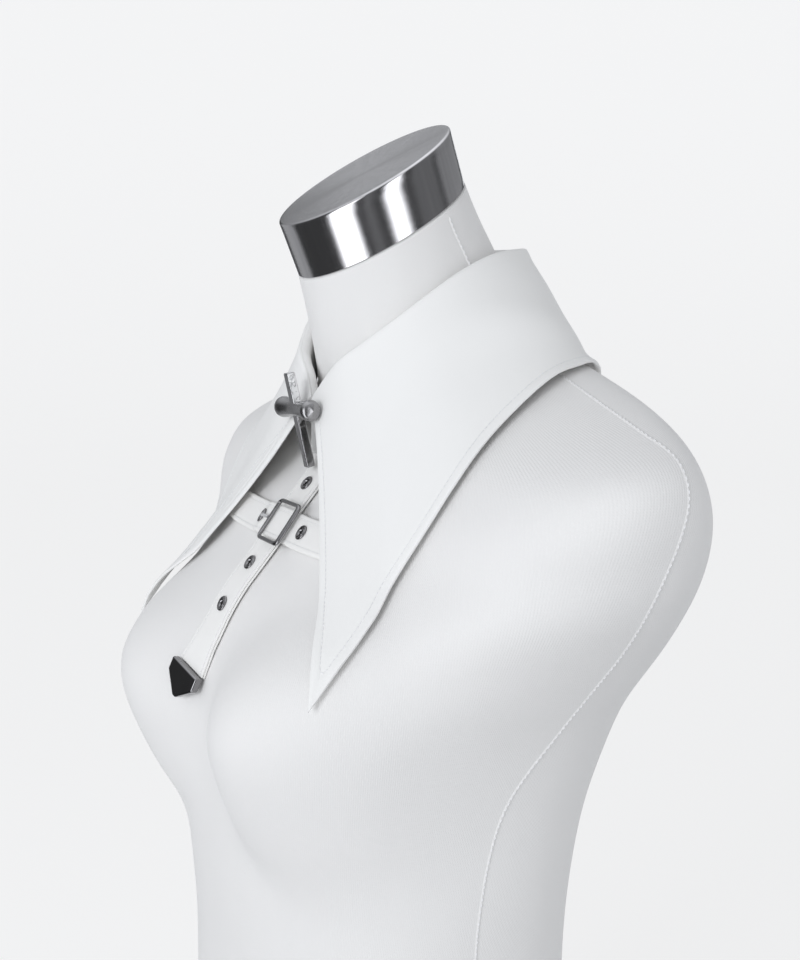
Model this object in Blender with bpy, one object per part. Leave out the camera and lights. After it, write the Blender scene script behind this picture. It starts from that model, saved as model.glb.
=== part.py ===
"""Detachable shirt collar worn by a limbless dress form.

Metres, +Z up. The form faces -Y and its left side is +X. Tables and sizes are in millimetres and become
metres through MM.
"""

import math
from collections import namedtuple

import bmesh
import bpy
from mathutils import Vector
from mathutils.bvhtree import BVHTree
from mathutils.geometry import delaunay_2d_cdt

MM = 0.001

# Dress form
NECK_BASE_HEIGHT = 540.0
FORM_POINTS_ROUND = 56
FORM_RINGS_PER_ROW = 2

# One row for each section of the form, from the hip up. Height and middle place the section's centre, height
# counted from the neck's base. Tilt leans it forward, in degrees. Power is 2 for an ellipse and more for a
# squarer section.
FormRow = namedtuple("FormRow", "height middle tilt half_width front back power")
FORM_ROWS = (
    FormRow(-540, -14, 0, 164, 98, 118, 2.2),
    FormRow(-485, -18, 0, 162, 98, 116, 2.2),
    FormRow(-430, -22, 0, 148, 96, 107, 2.2),
    FormRow(-380, -26, 0, 127, 94, 97, 2.2),
    FormRow(-335, -29, 0, 116, 93, 91, 2.2),
    FormRow(-290, -29, 0, 118, 92, 88, 2.2),
    FormRow(-250, -28, 0, 121, 96, 90, 2.2),
    FormRow(-215, -23, 0, 121, 100, 94, 2.2),
    FormRow(-185, -18, 0, 127, 105, 99, 2.2),
    FormRow(-155, -14, 0, 139, 111, 104, 2.2),
    FormRow(-125, -3, 0, 162, 114, 99, 2.2),
    FormRow(-95, 4, 4, 187, 110, 89, 2.2),
    FormRow(-70, 7, 8, 199, 98, 82, 2.2),
    FormRow(-48, 2, 12, 206, 80, 72, 2.3),
    FormRow(-28, -3, 16, 201, 57, 62, 2.3),
    FormRow(-12, 6, 20, 163, 60, 52, 2.1),
    FormRow(2, 8, 23, 107, 59, 49, 2.0),
    FormRow(14, 2, 25, 77, 58, 51, 2.0),
    FormRow(27, -6, 27, 60, 55, 54, 2.0),
    FormRow(42, -12, 29, 52, 53.5, 55, 2.0),
    FormRow(60, -19, 31, 49, 51, 52, 2.0),
    FormRow(78.5, -25.5, 32.5, 48.5, 49.5, 49.5, 2.0),
)

BUST_POINT_X = 86.0
BUST_POINT_HEIGHT = -163.0
BUST_PROJECTION = 39.0
BUST_RADIUS_SIDE = 80.0
BUST_RADIUS_UP = 80.0
BUST_RADIUS_DOWN = 78.0

HOLLOW_X = 115.0
HOLLOW_HEIGHT = -65.0
HOLLOW_DEPTH = 8.0
HOLLOW_RADIUS = 62.0

CAP_HEIGHT = 29.0
CAP_RADIUS_LOW = 49.0
CAP_RADIUS_HIGH = 50.0
CAP_LEAN = 20.0
CAP_BEVEL = 1.2

# The whole object is moved this far back, which centres the form's outline on the origin.
CENTRING_Y = 22.65

PIECE_GAP = 0.3
SETTLE_ROUNDS = 6

# Collar. One row for each rib of a leaf, from the front edge to the centre of the back. The fold columns place
# the top of the fold and the edge columns the leaf's outer edge. Sag dips the rib towards the neck and bow
# swings it sideways, each at its largest.
RibRow = namedtuple("RibRow", "fold_x fold_y fold_height edge_x edge_y edge_height sag bow")
LEAF_RIBS = (
    RibRow(2, -64, -8, 112, -122, -137, 6, 5),
    RibRow(13, -61, 4, 114, -105, -116, 6, 3),
    RibRow(23, -59, 12, 112, -89, -99, 6, 1),
    RibRow(33, -54, 19, 109, -77, -83, 5, 0),
    RibRow(48, -41, 33, 115, -64, -60, 4, 0),
    RibRow(54.5, -26.5, 45, 119, -50, -38, 3, 0),
    RibRow(56, -9, 56, 117, -28, -16, 2, 0),
    RibRow(50.5, 12.5, 64, 113, 6, 7, 0, 0),
    RibRow(37, 35.5, 67, 99, 39, 10, -2, 0),
    RibRow(19.5, 49.5, 68, 62, 65, -5, -2, 0),
    RibRow(0, 54.5, 68, 0, 72, -14, -2, 0),
)
LEAF_RIBS_PER_SIDE = 24
LEAF_STEPS = 13
LEAF_WALL = 1.8
LEAF_CLEARANCE = 3.0
FOLD_RADIUS = 2.8
FOLD_DROP = 2.0
RELAX_SHARE = 0.35
FOLD_ANGLES = (0, 35, 70, 105, 140)

# Brings the largest value of v ** 3 * (1 - v) to 1, so that a rib's bow is the number in its row.
BOW_PEAK = 9.5

STAND_HEIGHT_FRONT = 24.0
STAND_HEIGHT_BACK = 38.0
STAND_STEPS = 7
STAND_WALL = 1.6
STAND_CLEARANCE = 1.1
STAND_LAP = 9.0
STAND_LAP_STEP = 1.3
NECK_LEAN = 19.0

# Straps
HANGING_STRAP_WIDTH = 23.0
CHEST_STRAP_WIDTH = 18.0
STRAP_WALL = 2.2
STRAP_CLEARANCE = 0.8
STRAP_STEP = 5.5
CHEST_STRAP_HEIGHT = -73.7
CHEST_STRAP_SLOPE = -0.03
CHEST_STRAP_REACH = 70.0
CHEST_STRAP_BRIDGE = 3.0
BRIDGE_HALF = 25.0
BRIDGE_SLOPE = 11.0
CHEST_EYELETS = (-16.5, 29.0)

# The hanging strap's middle line down the chest, from under the throat to its metal tip.
StrapRow = namedtuple("StrapRow", "x height")
HANGING_STRAP_ROWS = (
    StrapRow(1, -37),
    StrapRow(1, -54),
    StrapRow(1, -72),
    StrapRow(-1, -91),
    StrapRow(-4, -111),
    StrapRow(-8.5, -128),
    StrapRow(-14, -145),
    StrapRow(-19.5, -161),
)
HANGING_EYELETS = (22.0, 72.0, 97.0)

EYELET_RADIUS = 4.1
EYELET_HOLE_RADIUS = 2.2
EYELET_RISE = 0.9
EYELET_SIDES = 16
HOLE_SIDES = 12

# Buckle, lying on the chest strap
BUCKLE_X = 9.0
BUCKLE_LENGTH = 25.4
BUCKLE_HEIGHT = 24.4
BUCKLE_CORNER = 3.4
BUCKLE_BARS = (1.5, 3.6, 2.2)
BUCKLE_THICKNESS = 2.0

# The buckle's section, as a walk over it: the outline, its height as a share of the thickness, and its inset.
BuckleRow = namedtuple("BuckleRow", "outline rise inset")
BUCKLE_ROWS = (
    BuckleRow("outer", 0.0, 0.0),
    BuckleRow("outer", 0.75, 0.0),
    BuckleRow("outer", 1.0, 0.5),
    BuckleRow("inner", 1.0, -0.3),
    BuckleRow("inner", 0.75, 0.0),
    BuckleRow("inner", 0.0, 0.0),
)
TONGUE_LENGTH = 12.8
TONGUE_WIDTH = 2.2
TONGUE_RISE = 1.3

# One row for each ring of the tongue: its share of the length, its height and its share of the width.
TongueRow = namedtuple("TongueRow", "along rise scale")
TONGUE_ROWS = (
    TongueRow(0.0, TONGUE_RISE, 1.0),
    TongueRow(-0.4, TONGUE_RISE + 0.3, 1.0),
    TongueRow(-0.8, TONGUE_RISE, 0.9),
    TongueRow(-0.93, 0.4, 0.8),
    TongueRow(-1.0, -0.7, 0.6),
)
TONGUE_SIDES = 8

# Cross, standing in front of the stand's lapped ends
CROSS_CENTRE = (0.0, -74.2, -13.4)
CROSS_LEAN = 13.0
CROSS_BAR_UP = 19.0
CROSS_BAR_DOWN = 31.0
CROSS_BAR_WIDTH = 5.0
CROSS_BAR_DEPTH = 4.6
CROSS_BAR_BEVEL = 0.9

# One row for each ring along half of the cross's arm, from its middle to its end.
ArmRow = namedtuple("ArmRow", "along radius")
CROSS_ARM_ROWS = (
    ArmRow(0, 4.0),
    ArmRow(5, 4.1),
    ArmRow(10, 4.7),
    ArmRow(14, 5.4),
    ArmRow(16.4, 5.4),
    ArmRow(18.2, 4.2),
    ArmRow(19.2, 1.8),
)
ARM_SIDES = 16

TIP_LENGTH = 17.0
TIP_SHOULDER = 7.5
TIP_WIDTH = 24.5
TIP_THICKNESS = 4.4
TIP_POINT_HALF = 1.2
TIP_BEVEL = 1.2


def at(x, y, z):
    """A point given in millimetres from the neck's base, as metres above the floor."""
    return Vector((x, y, z + NECK_BASE_HEIGHT)) * MM


def blended(rows, t):
    """The row at t, from 0 at the first row to 1 at the last, on a smooth curve through all of them."""
    span = t * (len(rows) - 1)
    i = min(int(span), len(rows) - 2)
    s = span - i
    before, a, b, after = (rows[min(max(k, 0), len(rows) - 1)] for k in (i - 1, i, i + 1, i + 2))
    return type(a)(*(
        0.5 * (2 * q + (r - p) * s + (2 * p - 5 * q + 4 * r - w) * s * s + (3 * q - p - 3 * r + w) * s ** 3)
        for p, q, r, w in zip(before, a, b, after)
    ))


def clear_scene():
    for old in list(bpy.data.objects):
        bpy.data.objects.remove(old)


def material(name, colour, roughness, metallic=0.0):
    made = bpy.data.materials.new(name)
    made.use_nodes = True
    shader = made.node_tree.nodes["Principled BSDF"]
    shader.inputs["Base Color"].default_value = (*colour, 1.0)
    shader.inputs["Roughness"].default_value = roughness
    shader.inputs["Metallic"].default_value = metallic
    return made


def add_object(name, bm, finish, sharp_degrees=40.0):
    """One named, closed and smooth-shaded object from a bmesh."""
    mesh = bpy.data.meshes.new(name)
    bm.to_mesh(mesh)
    bm.free()
    mesh.shade_smooth()
    mesh.set_sharp_from_angle(angle=math.radians(sharp_degrees))
    mesh.materials.append(finish)
    made = bpy.data.objects.new(name, mesh)
    bpy.context.scene.collection.objects.link(made)
    return made


def chest_relief(x, z):
    """How far the chest stands out at x and z for a breast, less the hollow between breast and shoulder."""
    side = (abs(x) - BUST_POINT_X) / BUST_RADIUS_SIDE
    rise = z - BUST_POINT_HEIGHT
    up = rise / (BUST_RADIUS_UP if rise > 0 else BUST_RADIUS_DOWN)
    reach = min(side * side + up * up, 1.0)
    fullness = 1.5 + 0.5 * max(-1.0, min(1.0, rise / 60.0))
    out = BUST_PROJECTION * (1 - reach) ** fullness
    reach = min(math.hypot(abs(x) - HOLLOW_X, z - HOLLOW_HEIGHT) / HOLLOW_RADIUS, 1.0)
    return out - HOLLOW_DEPTH * (1 - reach * reach) ** 2


def form_ring(row):
    """The points round one section of the form, starting at its left side."""
    tilt = math.radians(row.tilt)
    points = []
    for k in range(FORM_POINTS_ROUND):
        angle = 2 * math.pi * k / FORM_POINTS_ROUND
        c, s = math.cos(angle), math.sin(angle)
        x = row.half_width * math.copysign(abs(c) ** (2 / row.power), c)
        depth = row.back if s > 0 else row.front
        y = depth * math.copysign(abs(s) ** (2 / row.power), s)
        if s < 0:
            y -= chest_relief(x, row.height) * min(1.0, -2.5 * s)
        points.append(at(x, row.middle + y * math.cos(tilt), row.height + y * math.sin(tilt)))
    return points


def make_form(finish):
    """Torso, shoulders and neck in one smooth solid with a flat base and a flat top under the neck cap."""
    bm = bmesh.new()
    count = (len(FORM_ROWS) - 1) * FORM_RINGS_PER_ROW + 1
    rings = []
    for k in range(count):
        row = blended(FORM_ROWS, k / (count - 1))
        rings.append([bm.verts.new(p) for p in form_ring(row)])
    loft(bm, rings)
    return add_object("form_body", bm, finish)


def make_cap(finish):
    """The metal cap that closes the neck, its two faces level with the neck's top."""
    top = FORM_ROWS[-1]
    face = math.radians(top.tilt)
    lean = math.radians(CAP_LEAN)
    up = Vector((0, -math.sin(face), math.cos(face)))
    along = Vector((0, -math.sin(lean), math.cos(lean)))
    foot = at(0, top.middle, top.height) + up * PIECE_GAP * MM
    profile = (
        (0.0, CAP_RADIUS_LOW),
        (CAP_HEIGHT - CAP_BEVEL, CAP_RADIUS_HIGH),
        (CAP_HEIGHT - 0.3 * CAP_BEVEL, CAP_RADIUS_HIGH - 0.3 * CAP_BEVEL),
        (CAP_HEIGHT, CAP_RADIUS_HIGH - CAP_BEVEL),
    )
    bm = bmesh.new()
    rings = []
    for rise, radius in profile:
        ring = []
        for k in range(FORM_POINTS_ROUND):
            angle = 2 * math.pi * k / FORM_POINTS_ROUND
            across = Vector((math.cos(angle), math.sin(angle) * math.cos(face), 0))
            across.z = math.sin(angle) * math.sin(face)
            ring.append(bm.verts.new(foot + along * rise * MM + across * radius * MM))
        rings.append(ring)
    loft(bm, rings)
    return add_object("form_neck_cap", bm, finish)


def loft(bm, rings):
    """Skin a stack of rings and close both ends."""
    count = len(rings[0])
    for low, high in zip(rings, rings[1:]):
        for k in range(count):
            n = (k + 1) % count
            bm.faces.new((low[k], low[n], high[n], high[k]))
    bm.faces.new(reversed(rings[0]))
    bm.faces.new(rings[-1])


def surface_of(made):
    """A nearest-point tree of one object, in millimetres above the floor."""
    mesh = made.data
    return BVHTree.FromPolygons([v.co / MM for v in mesh.vertices], [p.vertices[:] for p in mesh.polygons])


def pushed_clear(point, tree, distance):
    """The point, moved straight out of the form's surface when it lies nearer than the distance."""
    place, normal, _, _ = tree.find_nearest(point)
    gap = (point - place).dot(normal)
    if gap >= distance:
        return point
    return point + normal * (distance - gap)


def settled(grid, tree, distance, held_rows):
    """A grid pushed clear of the form and relaxed between the rounds. The first held_rows stay put."""

    def all_clear(ribs):
        return [rib[:held_rows] + [pushed_clear(p, tree, distance) for p in rib[held_rows:]] for rib in ribs]

    wide = len(grid)
    for _ in range(SETTLE_ROUNDS):
        moved = all_clear(grid)
        grid = [list(rib) for rib in moved]
        for i in range(1, wide - 1):
            for j in range(held_rows, len(grid[i]) - 1):
                middle = (moved[i - 1][j] + moved[i + 1][j] + moved[i][j - 1] + moved[i][j + 1]) / 4
                grid[i][j] = moved[i][j].lerp(middle, RELAX_SHARE)
    return all_clear(grid)


def grid_normals(grid):
    """A unit normal at each grid point, from its neighbours along and across."""
    wide, long = len(grid), len(grid[0])
    normals = []
    for i in range(wide):
        row = []
        for j in range(long):
            along = grid[min(i + 1, wide - 1)][j] - grid[max(i - 1, 0)][j]
            across = grid[i][min(j + 1, long - 1)] - grid[i][max(j - 1, 0)]
            row.append(along.cross(across).normalized())
        normals.append(row)
    return normals


def walled_grid(name, grid, wall, finish):
    """A closed cloth wall round a grid of points that lie in its middle."""
    normals = grid_normals(grid)
    wide, long = len(grid), len(grid[0])
    bm = bmesh.new()
    faces = []
    for side in (1, -1):
        faces.append([
            [bm.verts.new((grid[i][j] + normals[i][j] * side * wall / 2) * MM) for j in range(long)]
            for i in range(wide)
        ])
    front, back = faces
    for i in range(wide - 1):
        for j in range(long - 1):
            bm.faces.new((front[i][j], front[i + 1][j], front[i + 1][j + 1], front[i][j + 1]))
            bm.faces.new((back[i][j], back[i][j + 1], back[i + 1][j + 1], back[i + 1][j]))
    rim = [(i, 0) for i in range(wide - 1)] + [(wide - 1, j) for j in range(long - 1)]
    rim += [(i, long - 1) for i in range(wide - 1, 0, -1)] + [(0, j) for j in range(long - 1, 0, -1)]
    for (i, j), (k, m) in zip(rim, rim[1:] + rim[:1]):
        bm.faces.new((front[k][m], front[i][j], back[i][j], back[k][m]))
    bmesh.ops.recalc_face_normals(bm, faces=bm.faces)
    return add_object(name, bm, finish)


def fold_frame(row):
    """The fold's top, the way out from the neck and the way up along the stand, at one rib."""
    top = Vector((row.fold_x, row.fold_y, row.fold_height + NECK_BASE_HEIGHT))
    outward = Vector((row.fold_x, row.fold_y + 8, 0)).normalized()
    lean = math.radians(NECK_LEAN)
    up = Vector((0, -math.sin(lean), math.cos(lean)))
    up = (up - outward * up.dot(outward)).normalized()
    return top, outward, up


def mirrored(points):
    return [Vector((-p.x, p.y, p.z)) for p in points]


def leaf_rib(t):
    """One rib of the leaf: over the fold from the stand's seam, then down to the outer edge."""
    row = blended(LEAF_RIBS, t)
    top, outward, up = fold_frame(row)
    centre = top - up * FOLD_RADIUS
    rib = [centre - outward * FOLD_RADIUS - up * FOLD_DROP]
    for degrees in FOLD_ANGLES:
        turn = math.radians(degrees)
        rib.append(centre + (up * math.sin(turn) - outward * math.cos(turn)) * FOLD_RADIUS)
    start = rib[-1]
    edge = Vector((row.edge_x, row.edge_y, row.edge_height + NECK_BASE_HEIGHT))
    for k in range(1, LEAF_STEPS + 1):
        v = k / LEAF_STEPS
        point = start.lerp(edge, v)
        inward = Vector((-point.x, -point.y, 0)).normalized()
        sideways = Vector((row.bow * BOW_PEAK * v ** 3 * (1 - v), 0, 0))
        rib.append(point + inward * row.sag * 4 * v * (1 - v) + sideways)
    return rib


def make_fall(tree, finish):
    """The fall: both pointed leaves and the back in one piece, rolled over the stand's top."""
    near = [leaf_rib(k / LEAF_RIBS_PER_SIDE) for k in range(LEAF_RIBS_PER_SIDE + 1)]
    ribs = near + [mirrored(rib) for rib in reversed(near[:-1])]
    grid = settled(ribs, tree, LEAF_CLEARANCE + LEAF_WALL / 2, len(FOLD_ANGLES) + 1)
    return walled_grid("collar_fall", grid, LEAF_WALL, finish)


def make_stand(tree, finish):
    """The stand: a band round the neck whose two front ends lap under the cross."""
    ribs = []
    sides = LEAF_RIBS_PER_SIDE
    for k in range(2 * sides + 1):
        t = 1 - abs(k / sides - 1)
        side = 1 if k <= sides else -1
        top, outward, up = fold_frame(blended(LEAF_RIBS, t))
        height = STAND_HEIGHT_FRONT + (STAND_HEIGHT_BACK - STAND_HEIGHT_FRONT) * t
        head = top - up * (FOLD_RADIUS + FOLD_DROP + PIECE_GAP) - outward * FOLD_RADIUS
        rib = [head - up * height * j / STAND_STEPS for j in range(STAND_STEPS + 1)]
        ribs.append(rib if side > 0 else mirrored(rib))
    lapped = []
    for end, step in ((0, STAND_LAP_STEP), (-1, -STAND_LAP_STEP)):
        reach = -STAND_LAP if end == 0 else STAND_LAP
        lapped.append([[p + Vector((reach * f, -step * f, 0)) for p in ribs[end]] for f in (1.0, 0.5)])
    outer, inner = lapped
    ribs[0] = [p + Vector((0, -STAND_LAP_STEP * 0.3, 0)) for p in ribs[0]]
    ribs[-1] = [p + Vector((0, STAND_LAP_STEP * 0.3, 0)) for p in ribs[-1]]
    grid = outer + ribs + inner[::-1]
    grid = settled(grid, tree, STAND_CLEARANCE + STAND_WALL / 2, 1)
    return walled_grid("collar_stand", grid, STAND_WALL, finish)


class StrapFace:
    """The middle surface of a strap: a point and its three directions at any place along and across it."""

    def __init__(self, line, across, width):
        self.line = line
        self.across = across
        self.width = width
        self.lengths = [0.0]
        for p, q in zip(line, line[1:]):
            self.lengths.append(self.lengths[-1] + (q - p).length)

    def frame(self, along):
        """The middle point, the way along, the way across and the way out."""
        lengths = self.lengths
        i = max(0, min(len(lengths) - 2, sum(1 for v in lengths[1:-1] if v <= along)))
        f = (along - lengths[i]) / (lengths[i + 1] - lengths[i])
        point = self.line[i].lerp(self.line[i + 1], f)
        tangent = heading(self.line, i).lerp(heading(self.line, i + 1), f).normalized()
        side = self.across[i].lerp(self.across[i + 1], f)
        side = (side - tangent * side.dot(tangent)).normalized()
        return point, tangent, side, side.cross(tangent)

    def place(self, along, across, out=0.0):
        point, _, side, normal = self.frame(along)
        return point + side * across + normal * out


def strap_sheet(name, face, start, end, holes, finish):
    """A flat strap with round holes, cut in the plane and then laid along its face."""
    half = face.width / 2
    outline = []
    steps = max(2, round((end - start) / STRAP_STEP))
    for k in range(steps):
        outline.append(Vector((start + (end - start) * k / steps, -half)))
    outline += [Vector((end, -half)), Vector((end, 0))]
    for k in range(steps):
        outline.append(Vector((end + (start - end) * k / steps, half)))
    outline += [Vector((start, half)), Vector((start, 0))]
    points = list(outline)
    edges = [(k, (k + 1) % len(outline)) for k in range(len(outline))]
    for hole in holes:
        first = len(points)
        for k in range(HOLE_SIDES):
            angle = 2 * math.pi * k / HOLE_SIDES
            away = Vector((math.cos(angle), math.sin(angle)))
            points.append(Vector((hole, 0)) + away * EYELET_HOLE_RADIUS)
        edges += [(first + k, first + (k + 1) % HOLE_SIDES) for k in range(HOLE_SIDES)]
    for k in range(1, steps):
        along = start + (end - start) * k / steps
        for across in (-half / 2, 0.0, half / 2):
            spot = Vector((along, across))
            if all((spot - Vector((hole, 0))).length > EYELET_HOLE_RADIUS + 1.5 for hole in holes):
                points.append(spot)
    flat, _, faces, _, _, _ = delaunay_2d_cdt(points, edges, [], 1, 1e-4)
    kept = []
    for f in faces:
        middle = sum((flat[k] for k in f), Vector((0, 0))) / len(f)
        if all((middle - Vector((hole, 0))).length > EYELET_HOLE_RADIUS * 0.9 for hole in holes):
            kept.append(tuple(f))
    bm = bmesh.new()
    layers = []
    for out in (STRAP_WALL / 2, -STRAP_WALL / 2):
        layers.append([bm.verts.new(face.place(p.x, p.y, out) * MM) for p in flat])
    sides = {}
    for f in kept:
        bm.faces.new([layers[0][k] for k in f])
        bm.faces.new([layers[1][k] for k in reversed(f)])
        for p, q in zip(f, f[1:] + f[:1]):
            sides[(p, q)] = True
    for p, q in sides:
        if (q, p) not in sides:
            bm.faces.new((layers[0][q], layers[0][p], layers[1][p], layers[1][q]))
    bmesh.ops.recalc_face_normals(bm, faces=bm.faces)
    return add_object(name, bm, finish)


def strap_face_over(tree, spots, width, lift):
    """A strap's face over places on the form's front, given as x and height, lifted clear of the form."""
    line, normals = [], []
    for x, height in spots:
        place, normal, _, _ = tree.ray_cast(Vector((x, -300, height + NECK_BASE_HEIGHT)), Vector((0, 1, 0)))
        line.append(place)
        normals.append(normal)
    sides = []
    for k in range(len(line)):
        side = heading(line, k).cross(normals[k]).normalized()
        ends = []
        for across in (-width / 2, width / 2):
            place, _, _, _ = tree.find_nearest(line[k] + side * across)
            ends.append(place)
        sides.append((ends[1] - ends[0]).normalized())
    for _ in range(3):
        inner = [(p + 2 * q + r).normalized() for p, q, r in zip(sides, sides[1:], sides[2:])]
        sides = sides[:1] + inner + sides[-1:]
    for _ in range(SETTLE_ROUNDS):
        line = raised_clear(relaxed(line, 3), sides, width, tree)
    lifted = []
    for k, (point, side) in enumerate(zip(line, sides)):
        lifted.append(point + side.cross(heading(line, k)).normalized() * lift(spots[k][0]))
    return StrapFace(lifted, sides, width)


def heading(line, k):
    """The direction in which a line runs at its point k."""
    return (line[min(k + 1, len(line) - 1)] - line[max(k - 1, 0)]).normalized()


def raised_clear(line, sides, width, tree):
    """A strap's middle line, raised where the strap's underside would come too near the form."""
    raised = []
    for k, (point, side) in enumerate(zip(line, sides)):
        normal = side.cross(heading(line, k)).normalized()
        short = 0.0
        for across in (-0.5, -0.25, 0.0, 0.25, 0.5):
            spot = point + side * across * width
            place, out, _, _ = tree.find_nearest(spot)
            short = max(short, STRAP_CLEARANCE + STRAP_WALL / 2 - (spot - place).dot(out))
        raised.append(point + normal * short)
    return raised


def chest_strap_face(tree):
    """The chest strap lies on the form and rises over the hanging strap at the middle."""

    def lift(x):
        over = max(0.0, min(1.0, (BRIDGE_HALF - abs(x)) / BRIDGE_SLOPE))
        return CHEST_STRAP_BRIDGE * over * over * (3 - 2 * over)

    places = [CHEST_STRAP_REACH * k / 14 for k in range(-14, 15)]
    spots = [(x, CHEST_STRAP_HEIGHT + CHEST_STRAP_SLOPE * x) for x in places]
    return strap_face_over(tree, spots, CHEST_STRAP_WIDTH, lift)


def hanging_strap_face(tree):
    """The hanging strap lies down the middle of the chest and drifts to one side."""
    rows = [blended(HANGING_STRAP_ROWS, k / 24) for k in range(25)]
    return strap_face_over(tree, [(row.x, row.height) for row in rows], HANGING_STRAP_WIDTH, lambda x: 0.0)


def relaxed(line, rounds):
    for _ in range(rounds):
        line = line[:1] + [(p + 2 * q + r) / 4 for p, q, r in zip(line, line[1:], line[2:])] + line[-1:]
    return line


def make_eyelet(name, face, along, out, finish):
    """A domed ring round a hole in a strap."""
    profile = (
        (EYELET_HOLE_RADIUS - 0.3, 0.0),
        (EYELET_RADIUS, 0.0),
        (EYELET_RADIUS - 0.3, EYELET_RISE * 0.55),
        (EYELET_RADIUS - 1.0, EYELET_RISE),
        (EYELET_HOLE_RADIUS - 0.1, EYELET_RISE * 0.7),
    )
    centre, tangent, side, normal = face.frame(along)
    bm = bmesh.new()
    rings = []
    for k in range(EYELET_SIDES):
        angle = 2 * math.pi * k / EYELET_SIDES
        away = tangent * math.cos(angle) + side * math.sin(angle)
        rings.append([bm.verts.new((centre + away * r + normal * (out + h)) * MM) for r, h in profile])
    for ring, after in zip(rings, rings[1:] + rings[:1]):
        for j in range(len(profile)):
            m = (j + 1) % len(profile)
            bm.faces.new((ring[j], after[j], after[m], ring[m]))
    bmesh.ops.recalc_face_normals(bm, faces=bm.faces)
    return add_object(name, bm, finish)


def prism(bm, outline, origin, x_way, y_way, z_way, low, high, bevel=0.0):
    """A plate from a flat outline, its top edge pulled in by the bevel."""
    middle = sum((Vector(p) for p in outline), Vector((0, 0))) / len(outline)

    def ring(rise, inset):
        verts = []
        for p in outline:
            spot = Vector(p)
            spot = spot + (middle - spot).normalized() * inset
            verts.append(bm.verts.new((origin + x_way * spot.x + y_way * spot.y + z_way * rise) * MM))
        return verts

    rings = [ring(low, 0.0), ring(high - bevel, 0.0)] + ([ring(high, bevel)] if bevel else [])
    loft(bm, rings)


def rounded_rectangle(left, right, bottom, top, corner, steps=3):
    points = []
    for cx, cy, first in (
        (right - corner, bottom + corner, -90), (right - corner, top - corner, 0),
        (left + corner, top - corner, 90), (left + corner, bottom + corner, 180),
    ):
        for k in range(steps + 1):
            angle = math.radians(first + 90 * k / steps)
            points.append((cx + corner * math.cos(angle), cy + corner * math.sin(angle)))
    return points


def make_buckle(face, along, out, finish):
    """The frame: a rounded rectangular ring, thin on the tongue's side and thick on the other."""
    thin, thick, rail = BUCKLE_BARS
    w, h = BUCKLE_LENGTH / 2, BUCKLE_HEIGHT / 2
    outlines = {
        "outer": rounded_rectangle(-w, w, -h, h, BUCKLE_CORNER),
        "inner": rounded_rectangle(-w + thin, w - thick, -h + rail, h - rail, BUCKLE_CORNER * 0.35),
    }
    centre, tangent, side, normal = face.frame(along)
    bm = bmesh.new()
    loops = []
    for row in BUCKLE_ROWS:
        loop = []
        height = out + row.rise * BUCKLE_THICKNESS
        for x, y in outlines[row.outline]:
            spot = Vector((x, y))
            spot -= spot.normalized() * row.inset
            loop.append(bm.verts.new((centre + tangent * spot.x + side * spot.y + normal * height) * MM))
        loops.append(loop)
    for loop, after in zip(loops, loops[1:] + loops[:1]):
        for k in range(len(loop)):
            n = (k + 1) % len(loop)
            bm.faces.new((loop[k], loop[n], after[n], after[k]))
    bmesh.ops.recalc_face_normals(bm, faces=bm.faces)
    return add_object("buckle_frame", bm, finish)


def make_tongue(face, start, out, finish):
    """The short tongue, from beside the frame's thin bar into the next eyelet."""
    centre, tangent, side, normal = face.frame(start)
    half = TONGUE_WIDTH / 2
    bm = bmesh.new()
    rings = []
    for row in TONGUE_ROWS:
        ring = []
        for k in range(TONGUE_SIDES):
            angle = 2 * math.pi * k / TONGUE_SIDES
            spot = centre + tangent * row.along * TONGUE_LENGTH + side * half * row.scale * math.cos(angle)
            spot += normal * (out + row.rise + half * 0.8 * row.scale * math.sin(angle))
            ring.append(bm.verts.new(spot * MM))
        rings.append(ring)
    loft(bm, rings)
    bmesh.ops.recalc_face_normals(bm, faces=bm.faces)
    return add_object("buckle_tongue", bm, finish)


def make_tip(face, start, tree, finish):
    """The metal end of the hanging strap, a plate cut to a blunt point, thicker than the strap."""
    centre, _, side, _ = face.frame(start)
    tangent = (face.place(face.lengths[-1], 0.0) - centre).normalized()
    side = (side - tangent * side.dot(tangent)).normalized()
    normal = side.cross(tangent)
    half = TIP_WIDTH / 2
    outline = [
        (0, -half), (TIP_SHOULDER, -half), (TIP_LENGTH, -TIP_POINT_HALF),
        (TIP_LENGTH, TIP_POINT_HALF), (TIP_SHOULDER, half), (0, half),
    ]
    foot = centre + tangent * PIECE_GAP - normal * STRAP_WALL / 2
    short = 0.0
    for along, across in outline:
        spot = foot + tangent * along + side * across
        place, out, _, _ = tree.find_nearest(spot)
        short = max(short, STRAP_CLEARANCE - (spot - place).dot(out))
    bm = bmesh.new()
    prism(bm, outline, foot + normal * short, tangent, side, normal, 0.0, TIP_THICKNESS, TIP_BEVEL)
    bmesh.ops.recalc_face_normals(bm, faces=bm.faces)
    return add_object("strap_tip", bm, finish)


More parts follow.
